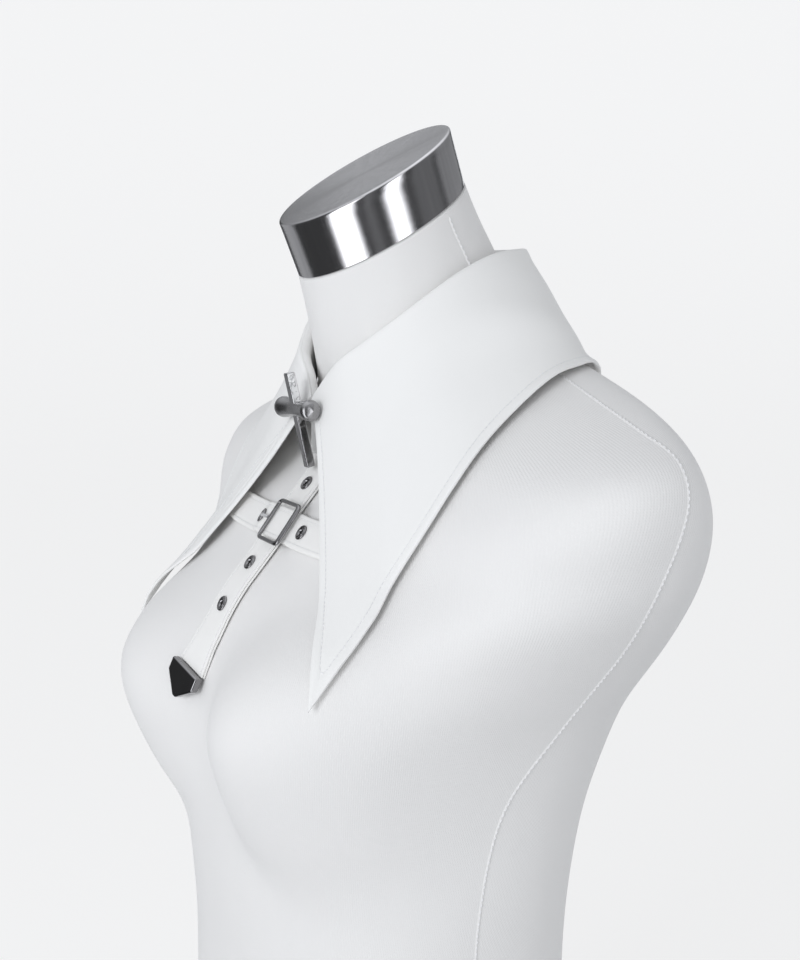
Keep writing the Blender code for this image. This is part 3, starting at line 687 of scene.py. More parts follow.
def distance_to(points, line):
    """The distance from each point to a line of points, in millimetres."""
    flat = points.reshape(-1, 3)
    best = np.full(len(flat), 1e9)
    for a, b in zip(line, line[1:]):
        run = b - a
        t = np.clip(((flat - a) @ run) / max(run @ run, 1e-9), 0, 1)
        best = np.minimum(best, np.linalg.norm(flat - a - t[:, None] * run, axis=1))
    return best.reshape(points.shape[:-1])


def from_edges(grid, *lines):
    return np.minimum.reduce([distance_to(grid, line[::2]) for line in lines])


def cloth_map(grid):
    """Millimetres of cloth along and across a grid, measured from its middle rib."""
    across = np.array([lengths_along(rib) for rib in grid])
    along = np.array([lengths_along(row) for row in np.swapaxes(grid, 0, 1)]).T
    return np.stack([along - along[len(grid) // 2], across], -1)


def seam_profile(edge, wall, inset):
    """Half the thickness at a distance from the sewn edge: a thin rim, a full allowance, a dip under the stitches."""
    rim = np.clip(edge / 1.4, 0, 1)
    full = 0.62 + 0.38 * np.sqrt(rim)
    swell = 0.07 * np.exp(-((edge - inset * 0.5) / (inset * 0.3)) ** 2)
    dip = 0.20 * np.exp(-((edge - inset) / 0.8) ** 2)
    return wall / 2 * (full + swell - dip)


# A trough or ridge in the leaf: where its middle lies by rib and by share of the way down, its half length and half
# width in ribs and shares, its turn, and its height, below zero for a trough.
CreaseRow = namedtuple("CreaseRow", "rib down length width slant height")
CREASES = (
    CreaseRow(16.5, 0.42, 0.36, 1.7, 2.6, 2.3),
    CreaseRow(13.2, 0.45, 0.30, 1.6, 1.5, -0.8),
    CreaseRow(9.0, 0.28, 0.20, 1.8, -2.0, -0.6),
    CreaseRow(5.0, 0.55, 0.30, 1.7, 1.0, 0.6),
    CreaseRow(20.5, 0.50, 0.30, 1.5, 0.8, -0.6),
    CreaseRow(31.5, 0.40, 0.32, 1.9, -2.2, 1.2),
    CreaseRow(35.0, 0.48, 0.26, 1.7, -1.2, -0.7),
    CreaseRow(41.0, 0.50, 0.28, 1.6, 1.4, 0.5),
)


def creased(grid, along, across):
    normals = grid_normals(grid)
    rib = along[:, None]
    down = ((across - FOLD_POINTS) / LEAF_STEPS)[None, :]
    height = np.zeros(grid.shape[:2])
    for row in CREASES:
        v = (down - row.down) / row.length
        u = (rib - row.rib - row.slant * v) / row.width
        height += row.height * np.exp(-u * u) * np.clip(1 - v * v, 0, 1) ** 1.5
    free = np.clip(down / 0.1, 0, 1)
    return grid + normals * (height * free * out_sign)[..., None]


fall_along = fine_places(len(fall_coarse) - 1, True, True)
roll_across = [j + k / FOLD_FINE for j in range(FOLD_POINTS) for k in range(FOLD_FINE)]
fall_across = np.concatenate([roll_across, FOLD_POINTS + fine_places(LEAF_STEPS, False, True)])
fall_across = np.unique(np.round(np.clip(fall_across, 0, fall_coarse.shape[1] - 1), 6))
back_normal = grid_normals(fall_coarse)[RIBS_PER_SIDE, -4]
out_sign = 1.0 if back_normal[1] > 0 else -1.0
fall_grid = creased(resampled(fall_coarse, fall_along, fall_across), fall_along, fall_across)
LEAF_START = FOLD_FINE * FOLD_POINTS
fall_edge = from_edges(fall_grid, fall_grid[0, LEAF_START:], fall_grid[:, -1], fall_grid[-1, LEAF_START:])
fall_half = seam_profile(fall_edge, LEAF_WALL, TOPSTITCH_INSET)
fall = walled("fall", fall_grid, fall_half, collar_cotton, cloth_map(fall_grid), fall_edge)
dressed(fall, "collar_cotton", "collar_fall")


def sheet_area(grid):
    """The area of a grid of middle points, in square metres."""
    a, b, c, d = grid[:-1, :-1], grid[1:, :-1], grid[1:, 1:], grid[:-1, 1:]
    halves = np.linalg.norm(np.cross(b - a, c - a), axis=-1) + np.linalg.norm(np.cross(c - a, d - a), axis=-1)
    return float(halves.sum() / 2) * MM ** 2


print("fall: area", round(sheet_area(fall_grid), 4), "front edge", round(lengths_along(fall_grid[0])[-1]),
      "outer edge", round(lengths_along(fall_grid[:, -1])[-1]))

# %% [markdown]
# ## The stand
# The stand runs up inside the fall's fold and closes at the throat, where its left end laps over its
# right one. Only a strip of its inner face shows beside the neck, so a plain band with an edge seam is
# enough.

# %% Stand
STAND_FINE = 4
LAP_EASE = 0.3


def stand_ribs():
    ribs = []
    for k in range(2 * RIBS_PER_SIDE + 1):
        t = 1 - abs(k / RIBS_PER_SIDE - 1)
        top, outward, up = fold_frame(rib_row(t))
        height = STAND_HEIGHT_FRONT + (STAND_HEIGHT_BACK - STAND_HEIGHT_FRONT) * t
        head = top - up * (FOLD_RADIUS + FOLD_DROP + PIECE_GAP) - outward * FOLD_RADIUS
        rib = np.array([head - up * height * j / STAND_STEPS for j in range(STAND_STEPS + 1)])
        ribs.append(rib if k <= RIBS_PER_SIDE else rib * MIRROR)
    return ribs


def lapped_stand():
    """The ribs with both ends carried past the middle, the left one in front of the right one."""
    ribs = stand_ribs()
    lap = np.array([STAND_LAP, STAND_LAP_STEP, 0])
    ease = np.array([0, STAND_LAP_STEP * LAP_EASE, 0])
    outer = [ribs[0] - lap, ribs[0] - lap * 0.5]
    inner = [ribs[-1] + lap * 0.5, ribs[-1] + lap]
    return settled(np.array([*outer, ribs[0] - ease, *ribs[1:-1], ribs[-1] + ease, *inner]),
                   STAND_CLEARANCE + STAND_WALL / 2, 1)


stand_coarse = lapped_stand()
stand_spans = len(stand_coarse) - 1
stand_grid = resampled(stand_coarse, np.linspace(0, stand_spans, STAND_FINE * stand_spans + 1),
                       np.linspace(0, STAND_STEPS, STAND_FINE * STAND_STEPS + 1))
stand_edge = from_edges(stand_grid, stand_grid[0], stand_grid[:, -1], stand_grid[-1])
stand_half = seam_profile(stand_edge, STAND_WALL, TOPSTITCH_INSET * 0.6)
stand = walled("stand", stand_grid, stand_half, collar_cotton, cloth_map(stand_grid), stand_edge)
dressed(stand, "collar_cotton", "collar_stand")
stand_length = float(lengths_along(stand_grid[:, STAND_FINE * STAND_STEPS // 2])[-1])
print("stand: area", round(sheet_area(stand_grid), 4), "length", round(stand_length))

# %% [markdown]
# ## The straps
# A strap is a long strip of cotton, doubled and edge-stitched. Its middle line lies on the form, given by
# a few places down the chest, and its width turns with the body. The strip is cut flat with its round
# holes, as a maker would punch it, and then each point is laid on the strap's face. Two plies lie against
# each other, and the lower one is a little wider, which leaves the double line that shows along a real
# strap's edge.

# %% Strap face
StrapRow = namedtuple("StrapRow", "x height")
HANGING_STRAP_ROWS = (
    StrapRow(1, -37),
    StrapRow(1, -54),
    StrapRow(1, -72),
    StrapRow(-1, -91),
    StrapRow(-4, -111),
    StrapRow(-8.5, -128),
    StrapRow(-14, -145),
    StrapRow(-19.5, -161),
)
HANGING_STRAP_STEPS = 24
HANGING_STRAP_WIDTH = 23.0
HANGING_EYELETS = (22.0, 72.0, 97.0)
CHEST_STRAP_STEPS = 14
CHEST_STRAP_WIDTH = 18.0
CHEST_STRAP_HEIGHT = -73.7
CHEST_STRAP_SLOPE = -0.03
CHEST_STRAP_REACH = 70.0
CHEST_EYELETS = (-16.5, 29.0)
BRIDGE_RISE = 3.0
BRIDGE_REACH = 25.0
BRIDGE_SLOPE = 11.0
STRAP_WALL = 2.2
STRAP_CLEARANCE = 0.8
LAYING_HEIGHT = -300.0
ACROSS_STRAP = (-0.5, -0.25, 0.0, 0.25, 0.5)


def heading(line, k):
    return unit(line[min(k + 1, len(line) - 1)] - line[max(k - 1, 0)])


def relaxed(line, rounds=3):
    """A line with its inner points drawn toward their neighbours, and its ends held."""
    for _ in range(rounds):
        line = np.vstack([line[:1], (line[:-2] + 2 * line[1:-1] + line[2:]) / 4, line[-1:]])
    return line


def ways_out(line, sides):
    return np.array([unit(np.cross(side, heading(line, k))) for k, side in enumerate(sides)])


def raised_clear(line, sides, width):
    """A strap's middle line, raised where any place across the strap would lie too near the form."""
    near = STRAP_CLEARANCE + STRAP_WALL / 2
    short = [max(short_of(p + side * w * width, near)[0] for w in ACROSS_STRAP) for p, side in zip(line, sides)]
    return line + ways_out(line, sides) * np.maximum(short, 0.0)[:, None]


class StrapFace:
    """The middle surface of a strap: a point and its three directions at any place along it."""

    def __init__(self, spots, width, lift=None):
        laid = [surface.ray_cast(Vector((x, LAYING_HEIGHT, height)), Vector((0, 1, 0))) for x, height in spots]
        line = np.array([place for place, _, _, _ in laid])
        sides = []
        for k, (_, normal, _, _) in enumerate(laid):
            side = unit(np.cross(heading(line, k), np.array(normal)))
            left, right = (surface.find_nearest(Vector(line[k] + side * w))[0] for w in (-width / 2, width / 2))
            sides.append(unit(np.array(right - left)))
        sides = np.array(sides)
        for _ in range(3):
            sides = unit(relaxed(sides, 1))
        for _ in range(SETTLE_ROUNDS):
            line = raised_clear(relaxed(line), sides, width)
        if lift:
            line = line + ways_out(line, sides) * np.array([lift(x) for x, _ in spots])[:, None]
        places = np.linspace(0, len(line) - 1, 6 * len(line) - 5)
        self.line = spline_at(line, places)
        self.sides = unit(spline_at(sides, places))
        self.width = width
        self.lengths = lengths_along(self.line)

    def frame(self, along):
        """The middle point, the way along, the way across and the way out."""
        i = int(np.clip(np.searchsorted(self.lengths, along) - 1, 0, len(self.lengths) - 2))
        f = (along - self.lengths[i]) / (self.lengths[i + 1] - self.lengths[i])
        point = self.line[i] + (self.line[i + 1] - self.line[i]) * f
        tangent = unit(heading(self.line, i) * (1 - f) + heading(self.line, i + 1) * f)
        side = self.sides[i] * (1 - f) + self.sides[i + 1] * f
        side = unit(side - tangent * (side @ tangent))
        return point, tangent, side, np.cross(side, tangent)

    def place(self, along, across=0.0, out=0.0):
        point, _, side, normal = self.frame(along)
        return point + side * across + normal * out


def bridge(x):
    """How far the chest strap rises to pass over the hanging strap, at a distance from the middle."""
    over = max(0.0, min(1.0, (BRIDGE_REACH - abs(x)) / BRIDGE_SLOPE))
    return BRIDGE_RISE * over * over * (3 - 2 * over)


hanging_places = np.linspace(0, len(HANGING_STRAP_ROWS) - 1, HANGING_STRAP_STEPS + 1)
hanging = StrapFace(spline_at(HANGING_STRAP_ROWS, hanging_places), HANGING_STRAP_WIDTH)
chest_spots = [(x, CHEST_STRAP_HEIGHT + CHEST_STRAP_SLOPE * x)
               for x in np.linspace(-CHEST_STRAP_REACH, CHEST_STRAP_REACH, 2 * CHEST_STRAP_STEPS + 1)]
chest = StrapFace(chest_spots, CHEST_STRAP_WIDTH, bridge)
print("strap lengths", round(hanging.lengths[-1]), round(chest.lengths[-1]))

# %% Strap cloth
EYELET_RADIUS = 4.1
EYELET_HOLE = 2.2
STRAP_STEP = 1.5
HOLE_SIDES = 24
HOLE_ROOM = 0.7
PLY_GAP = 0.1
UNDER_PLY_WIDER = 0.35
ROWS_FROM_EDGE = (0.45, 1.1, 1.7, STRAP_STITCH_INSET, 2.8, 3.8, 5.5)
MIDDLE_ROWS = (-2.6, 0.0, 2.6)


def strap_stops(start, end):
    return np.linspace(start, end, round((end - start) / STRAP_STEP) + 1)


def flat_cut(start, end, half, holes):
    """A flat strip with round holes, as points and faces."""
    stops = strap_stops(start, end)
    points = [Vector((x, -half)) for x in stops] + [Vector((x, half)) for x in reversed(stops)]
    edges = [(k, (k + 1) % len(points)) for k in range(len(points))]
    for hole in holes:
        first = len(points)
        points += [Vector((hole + EYELET_HOLE * c, EYELET_HOLE * s)) for c, s in circle(HOLE_SIDES)]
        edges += [(first + k, first + (k + 1) % HOLE_SIDES) for k in range(HOLE_SIDES)]
    rows = [s * (half - d) for d in ROWS_FROM_EDGE for s in (-1, 1)] + list(MIDDLE_ROWS)
    for along in stops[1:-1]:
        for across in rows:
            if all(math.hypot(along - hole, across) > EYELET_HOLE + HOLE_ROOM for hole in holes):
                points.append(Vector((along, across)))
    flat, _, faces, _, _, _ = delaunay_2d_cdt(points, edges, [], 1, 1e-4)
    kept = []
    for f in faces:
        middle = sum((flat[k] for k in f), Vector((0, 0))) / len(f)
        if all((middle - Vector((hole, 0))).length > EYELET_HOLE * 0.95 for hole in holes):
            kept.append(tuple(f))
    return flat, kept


def ply(face, start, end, half, low, high, holes):
    """One layer of a strap as points, faces, cloth places and distances from its long edges."""
    flat, kept = flat_cut(start, end, half, holes)
    edge = [half - abs(p.y) for p in flat]
    swell = seam_profile(np.array(edge), 2.0, STRAP_STITCH_INSET)
    middle, deep = (low + high) / 2, (high - low) / 2
    points = [face.place(p.x, p.y, middle + way * deep * s) for way in (1, -1) for p, s in zip(flat, swell)]
    size = len(flat)
    shell = kept + [tuple(k + size for k in reversed(f)) for f in kept]
    sides = {(p, q) for f in kept for p, q in zip(f, f[1:] + f[:1])}
    shell += [(q, p, p + size, q + size) for p, q in sides if (q, p) not in sides]
    return points, shell, [(p.x, p.y) for p in flat] * 2, edge * 2


def make_strap(name, node, face, end, holes):
    half = face.width / 2
    upper = (half - UNDER_PLY_WIDER, PLY_GAP / 2, STRAP_WALL / 2)
    lower = (half, -STRAP_WALL / 2, -PLY_GAP / 2)
    points, faces, cloth, edge = [], [], [], []
    for layer in (upper, lower):
        laid, shell, flat, far = ply(face, 0.0, end, *layer, holes)
        faces += [tuple(k + len(points) for k in f) for f in shell]
        points += laid
        cloth += flat
        edge += far
    return dressed(write_mesh(name, points, faces, strap_cotton, cloth, edge), "strap_cotton", node)


TIP_LENGTH = 17.0
hanging_end = hanging.lengths[-1] - TIP_LENGTH
chest_end = chest.lengths[-1]
chest_middle = chest_end / 2
chest_holes = [chest_middle + x for x in CHEST_EYELETS]
hanging_piece = make_strap("hanging_strip", "hanging_strap", hanging, hanging_end, HANGING_EYELETS)
chest_piece = make_strap("chest_strip", "chest_strap", chest, chest_end, chest_holes)
print("strap faces", len(hanging_piece.data.polygons), len(chest_piece.data.polygons))

# %% [markdown]
# ## Eyelets
# An eyelet is a stamped ring with a rolled lip round a short barrel. It repeats, so Geometry Nodes make
# it: a rounded profile is swept round a circle, set on one point for each hole and turned to lie on the
# strap. The tree has named inputs for its sizes, and ends by making its instances real.

# %% Geometry Nodes helpers
def new_tree(name, sizes, material):
    """A Geometry Nodes tree with a geometry input, named sizes and a material. Its inputs come back by name."""
    tree = bpy.data.node_groups.new(name, "GeometryNodeTree")
    for label, kind in [("Geometry", "Geometry"), *((size, "Float") for size in sizes), (material, "Material")]:
        tree.interface.new_socket(label, in_out="INPUT", socket_type="NodeSocket" + kind)
    tree.interface.new_socket("Geometry", in_out="OUTPUT", socket_type="NodeSocketGeometry")
    start = tree.nodes.new("NodeGroupInput")
    return Network(tree), {socket.name: Value(tree, socket) for socket in start.outputs}


def set_on_points(net, points, piece, turn, material):
    """The end of a tree: a piece on every point, turned, made real, shaded smooth and given its material."""
    placed = net.node("GeometryNodeInstanceOnPoints", points=points, instance=piece, rotation=turn)
    real = net.node("GeometryNodeRealizeInstances", geometry=placed)
    smooth = net.node("GeometryNodeSetShadeSmooth", geometry=real)
    painted = net.node("GeometryNodeSetMaterial", geometry=smooth, material=material)
    end = net.tree.nodes.new("NodeGroupOutput")
    plug(net.tree, end.inputs[0], painted)


def loose(name, points, edges=(), out=None):
    """Loose points and lines, with a way out at each point where given, for a tree to set things on."""
    mesh = bpy.data.meshes.new(name)
    mesh.from_pydata([tuple(p) for p in to_metres(points)], list(edges), [])
    if out is not None:
        made = mesh.attributes.new("way_out", "FLOAT_VECTOR", "POINT")
        made.data.foreach_set("vector", np.asarray(out, np.float32).ravel())
    return linked(name, mesh)


def grown(base, tree, values, slot_name, *nodes):
    """Run a tree on a base object and keep the result as a plain mesh that rides on the body."""
    modifier = base.modifiers.new("grown", "NODES")
    modifier.node_group = tree
    for item in tree.interface.items_tree:
        if item.item_type == "SOCKET" and item.in_out == "INPUT" and item.name in values:
            modifier[item.identifier] = values[item.name]
    base.update_tag()
    bpy.context.view_layer.update()
    return dressed(plain_mesh(base), slot_name, *nodes)


# %% Eyelet tree
EYELET_LIP = 0.62
EYELET_BARREL = 2.6
EYELET_SEAT = 0.15
RING_SIDES = 40
SECTION_SIDES = 12
FLANGE_SHARE = 0.45
BARREL_WALL = 0.35 * MM
BARREL_DROP = 0.9 * MM


def eyelet_tree():
    net, given = new_tree("eyelets", ("Outer radius", "Hole radius", "Lip radius", "Barrel depth"), "Metal")
    outer, hole, lip = given["Outer radius"], given["Hole radius"], given["Lip radius"]

    def ring(radius, sides=SECTION_SIDES):
        return net.node("GeometryNodeCurvePrimitiveCircle", resolution=sides, radius=radius)

    def swept(radius, section):
        return net.node("GeometryNodeCurveToMesh", curve=ring(radius, RING_SIDES), _1=section)

    reach = (outer - hole) * FLANGE_SHARE
    flat = net.node("GeometryNodeTransform", geometry=ring(reach), scale=(1.0, 0.55, 1.0))
    wall = net.node("GeometryNodeCurvePrimitiveQuadrilateral", width=BARREL_WALL, height=given["Barrel depth"])
    barrel = net.node("GeometryNodeTransform", geometry=swept(hole, wall), translation=(0.0, 0.0, -BARREL_DROP))
    whole = net.tree.nodes.new("GeometryNodeJoinGeometry")
    for part in (swept(outer - lip, ring(lip)), swept(hole + reach, flat), barrel):
        plug(net.tree, whole.inputs[0], part)
    way = net.node("GeometryNodeInputNamedAttribute", {"data_type": "FLOAT_VECTOR"}, name="way_out")
    turn = net.node("FunctionNodeAlignEulerToVector", {"axis": "Z"}, vector=way)
    set_on_points(net, given["Geometry"], whole.outputs[0], turn, given["Metal"])
    return net.tree


eyelet_maker = eyelet_tree()
ON_STRAP = STRAP_WALL / 2 + PIECE_GAP


def set_eyelets(name, face, places, *nodes):
    frames = [face.frame(along) for along in places]
    spots = [point + normal * (ON_STRAP + EYELET_SEAT) for point, _, _, normal in frames]
    values = {"Outer radius": EYELET_RADIUS * MM, "Hole radius": EYELET_HOLE * MM, "Lip radius": EYELET_LIP * MM,
              "Barrel depth": EYELET_BARREL * MM, "Metal": nickel}
    base = loose(name, spots, out=[normal for _, _, _, normal in frames])
    made = grown(base, eyelet_maker, values, "dark_nickel", *nodes)
    print(name, "faces", len(made.data.polygons))


set_eyelets("hanging_eyelets", hanging, HANGING_EYELETS,
            "eyelet_hanging_1", "eyelet_hanging_2", "eyelet_hanging_3")
set_eyelets("chest_eyelets", chest, chest_holes, "eyelet_chest_right", "eyelet_chest_left")

# %% [markdown]
# ## The buckle
# The frame is cast: one thick bar, two rails and a thin bar, all rounded. It is swept in mesh code round
# a rounded rectangle, with a section at each place that is as wide as its bar. The tongue is a short pin,
# painted near white as a highlight, that leaves the thin bar and drops into the next eyelet. Inside the
# frame the strap itself shows.

# %% Buckle
BUCKLE_X = 9.0
BUCKLE_LENGTH = 25.4
BUCKLE_HEIGHT = 24.4
BUCKLE_CORNER = 3.6
BUCKLE_BARS = (1.5, 3.6, 2.2)
BUCKLE_THICKNESS = 2.1
CORNER_STEPS = 6
BUCKLE_WINDOW_CORNER = 0.4
SECTION_FULLNESS = 0.9


def rounded_rectangle(left, right, bottom, top, corner):
    points = []
    for cx, cy, first in (
        (right - corner, bottom + corner, -90), (right - corner, top - corner, 0),
        (left + corner, top - corner, 90), (left + corner, bottom + corner, 180),
    ):
        for k in range(CORNER_STEPS + 1):
            turn = math.radians(first + 90 * k / CORNER_STEPS)
            points.append((cx + corner * math.cos(turn), cy + corner * math.sin(turn)))
    return np.array(points)


def ring_faces(rings, sides, closed=True):
    """Quads that skin rings of points, joined end to start when closed."""
    faces = []
    for i in range(rings if closed else rings - 1):
        j = (i + 1) % rings
        for k in range(sides):
            n = (k + 1) % sides
            faces.append((i * sides + k, i * sides + n, j * sides + n, j * sides + k))
    return faces


def fuller(v):
    """A cosine or sine drawn a little outward, which makes a round section slightly square."""
    return math.copysign(abs(v) ** SECTION_FULLNESS, v)


def make_buckle():
    thin, thick, rail = BUCKLE_BARS
    w, h = BUCKLE_LENGTH / 2, BUCKLE_HEIGHT / 2
    outer = rounded_rectangle(-w, w, -h, h, BUCKLE_CORNER)
    inner = rounded_rectangle(-w + thin, w - thick, -h + rail, h - rail, BUCKLE_CORNER * BUCKLE_WINDOW_CORNER)
    centre, tangent, side, normal = chest.frame(chest_middle + BUCKLE_X)
    points = []
    for a, b in zip(outer, inner):
        for c, s in circle(SECTION_SIDES):
            flat = (a + b) / 2 + (a - b) / 2 * fuller(c)
            rise = (1 + fuller(s)) * BUCKLE_THICKNESS / 2
            points.append(centre + tangent * flat[0] + side * flat[1] + normal * (ON_STRAP + rise))
    return write_mesh("buckle_ring", points, ring_faces(len(outer), SECTION_SIDES), nickel, sharp=75)


# The pin's rows: the share of its length that lies behind it, its height over the eyelet's lip, and its radius.
TONGUE_LENGTH = 12.8
PinRow = namedtuple("PinRow", "share rise radius")
TONGUE_ROWS = (
    PinRow(0.0, 0.75, 0.0),
    PinRow(0.0, 0.8, 0.8),
    PinRow(0.2, 1.0, 1.0),
    PinRow(0.45, 1.1, 1.0),
    PinRow(0.66, 0.8, 0.95),
    PinRow(0.78, 0.2, 0.88),
    PinRow(0.84, -0.5, 0.8),
    PinRow(0.86, -1.2, 0.6),
    PinRow(0.86, -1.4, 0.0),
)
PIN_FLATNESS = 0.8


def make_tongue():
    """A tapered pin, from the thin bar down into the eyelet."""
    start = chest_middle + BUCKLE_X - BUCKLE_LENGTH / 2 - PIECE_GAP
    centre, tangent, side, normal = chest.frame(start)
    points = []
    for row in TONGUE_ROWS:
        rise = ON_STRAP + EYELET_LIP * 1.5 + row.rise
        middle = centre - tangent * row.share * TONGUE_LENGTH + normal * rise
        for c, s in circle(SECTION_SIDES):
            points.append(middle + (side * c + normal * PIN_FLATNESS * s) * row.radius)
    faces = ring_faces(len(TONGUE_ROWS), SECTION_SIDES, False)
    return write_mesh("tongue_pin", points, faces, pin_nickel, sharp=80)


dressed(make_buckle(), "dark_nickel", "buckle_frame")
dressed(make_tongue(), "dark_nickel", "buckle_tongue")

# %% [markdown]
# ## The metal tip and the cross
# The tip is a thick plate cut to a blunt point and bevelled. The cross is an upright of square bar and a
# round arm that flares to domed ends. Both are simple solids whose look is in their edges, so the tip and
# the upright are built with a narrow bevel, and the arm's ends are domed.

# %% Tip
TIP_SHOULDER = 7.5
TIP_WIDTH = 24.5
TIP_THICKNESS = 4.4
TIP_POINT = 1.2
TIP_BEVEL = 0.9


def bevelled(piece, width):
    rounder = piece.modifiers.new("edge", "BEVEL")
    rounder.width = width * MM
    rounder.segments = 3
    return plain_mesh(piece)


def make_tip():
    centre, _, side, _ = hanging.frame(hanging_end)
    tangent = unit(hanging.place(hanging.lengths[-1]) - centre)
    side = unit(side - tangent * (side @ tangent))
    normal = np.cross(side, tangent)
    half = TIP_WIDTH / 2
    outline = [(0, -half), (TIP_SHOULDER, -half), (TIP_LENGTH, -TIP_POINT), (TIP_LENGTH, TIP_POINT),
               (TIP_SHOULDER, half), (0, half)]
    foot = centre + tangent * PIECE_GAP - normal * STRAP_WALL / 2
    short = max(short_of(foot + tangent * x + side * y, STRAP_CLEARANCE)[0] for x, y in outline)
    foot = foot + normal * max(short, 0.0)
    points = [foot + tangent * x + side * y + normal * z for z in (0.0, TIP_THICKNESS) for x, y in outline]
    count = len(outline)
    faces = [tuple(reversed(range(count))), tuple(range(count, 2 * count))] + ring_faces(2, count, False)
    tip = bevelled(write_mesh("strap_end", points, faces, nickel, sharp=20), TIP_BEVEL)
    tip.data.shade_smooth()
    return tip


dressed(make_tip(), "dark_nickel", "strap_tip")

# %% Cross
CROSS_CENTRE = np.array([0.0, -74.2, -13.4])
CROSS_LEAN = math.radians(13.0)
CROSS_BAR_UP = 19.0
CROSS_BAR_DOWN = 31.0
CROSS_BAR_WIDTH = 5.0
CROSS_BAR_DEPTH = 4.6
CROSS_BAR_BEVEL = 0.7
# Where the upright's painted highlight lies: the half height of the step at the arm, the facing at which it starts
# and over which it grows, and its share below the arm.
HIGHLIGHT_STEP = 1.0
HIGHLIGHT_FROM = 0.5
HIGHLIGHT_OVER = 0.3
HIGHLIGHT_BELOW = 0.12
ArmRow = namedtuple("ArmRow", "along radius")
CROSS_ARM_ROWS = (
    ArmRow(0, 4.0),
    ArmRow(5, 4.1),
    ArmRow(10, 4.7),
    ArmRow(14, 5.4),
    ArmRow(16.4, 5.4),
    ArmRow(18.2, 4.2),
    ArmRow(19.2, 1.8),
)
ARM_SIDES = 48
ARM_FINE = 6
DOME = 0.35
DOME_TIP = 0.05
cross_up = np.array([0, -math.sin(CROSS_LEAN), math.cos(CROSS_LEAN)])
cross_front = np.array([0, -math.cos(CROSS_LEAN), -math.sin(CROSS_LEAN)])
cross_side = np.array([1.0, 0, 0])


def make_upright():
    """The square bar. Its left side is marked for a painted highlight above the arm, and only faintly below it."""
    half, deep = CROSS_BAR_WIDTH / 2, CROSS_BAR_DEPTH / 2
    points = [
        CROSS_CENTRE + cross_side * x + cross_front * y + cross_up * z
        for z in (-CROSS_BAR_DOWN, -HIGHLIGHT_STEP, HIGHLIGHT_STEP, CROSS_BAR_UP)
        for x, y in ((-half, -deep), (half, -deep), (half, deep), (-half, deep))
    ]
    faces = [(3, 2, 1, 0), (12, 13, 14, 15)] + ring_faces(4, 4, False)
    upright = bevelled(write_mesh("cross_upright", points, faces, hammered_nickel, sharp=20), CROSS_BAR_BEVEL)
    # The edge attribute here is the painted-highlight mask that the hammered_nickel material reads.
    bright = upright.data.attributes.new("edge", "FLOAT", "POINT")
    middle_height = to_metres([CROSS_CENTRE])[0][2]
    for spot, vertex in zip(bright.data, upright.data.vertices):
        share = min(max((vertex.normal.x - HIGHLIGHT_FROM) / HIGHLIGHT_OVER, 0.0), 1.0)
        spot.value = share if vertex.co.z > middle_height else share * HIGHLIGHT_BELOW
    return upright


def make_arm():
    rows = [(-r.along, r.radius) for r in reversed(CROSS_ARM_ROWS)] + [tuple(r) for r in CROSS_ARM_ROWS[1:]]
    rows = spline_at(rows, np.linspace(0, len(rows) - 1, ARM_FINE * (len(rows) - 1) + 1))
    end = CROSS_ARM_ROWS[-1].along + DOME
    points = []
    for along, radius in [(-end, DOME_TIP), *rows, (end, DOME_TIP)]:
        middle = CROSS_CENTRE + cross_side * along
        points += [middle + (cross_front * c + cross_up * s) * radius for c, s in circle(ARM_SIDES, 0.5)]
    faces = ring_faces(len(rows) + 2, ARM_SIDES, False)
    return write_mesh("cross_arm", points, faces, matte_nickel, sharp=60)


dressed(make_upright(), "dark_nickel", "cross")
dressed(make_arm(), "dark_nickel")

# %% [markdown]
# ## The neck cap
# The cap is a short steel drum, cut at a slant like the neck. It is turned here from a profile with many
# more sides than its solid has, with a small round at the rim that catches the light, and a UV map that
# runs round its side and round its top so that the brushing follows.

# %% Neck cap
CAP_HEIGHT = 29.0
CAP_RADIUS_LOW = 49.0
CAP_RADIUS_HIGH = 50.0
CAP_LEAN = math.radians(20.0)
CAP_FOOT = np.array([0.0, -25.5, 78.5])
CAP_SIDES = 160
CAP_BEVEL = 1.3
CAP_BEVEL_STEPS = 6
CAP_TOP_RINGS = (46.0, 40.0, 30.0, 20.0, 10.0, 2.0)


def cap_profile():
    """The height and radius at each turned ring, from inside the foot, up the side and in over the top."""
    flare = CAP_RADIUS_HIGH - CAP_RADIUS_LOW
    profile = [(0.0, CAP_RADIUS_LOW - 6), (0.0, CAP_RADIUS_LOW - 0.4), (0.4, CAP_RADIUS_LOW)]
    profile += [(CAP_HEIGHT * s, CAP_RADIUS_LOW + flare * s) for s in (0.2, 0.5, 0.8)]
    for c, s in circle(4 * CAP_BEVEL_STEPS)[:CAP_BEVEL_STEPS + 1]:
        profile.append((CAP_HEIGHT - CAP_BEVEL * (1 - s), CAP_RADIUS_HIGH - CAP_BEVEL * (1 - c)))
    return profile + [(CAP_HEIGHT, r) for r in CAP_TOP_RINGS]


def close_seam(mesh, length):
    """Carry the map on past its end on the last faces round, so that the brushing doesn't run back there."""
    layer = mesh.uv_layers["cloth"].data
    for face in mesh.polygons:
        wide = [layer[k].uv[0] for k in face.loop_indices]
        if max(wide) - min(wide) > length / 2 and len(wide) == 4:
            for k in face.loop_indices:
                if layer[k].uv[0] < length / 2:
                    layer[k].uv[0] += length


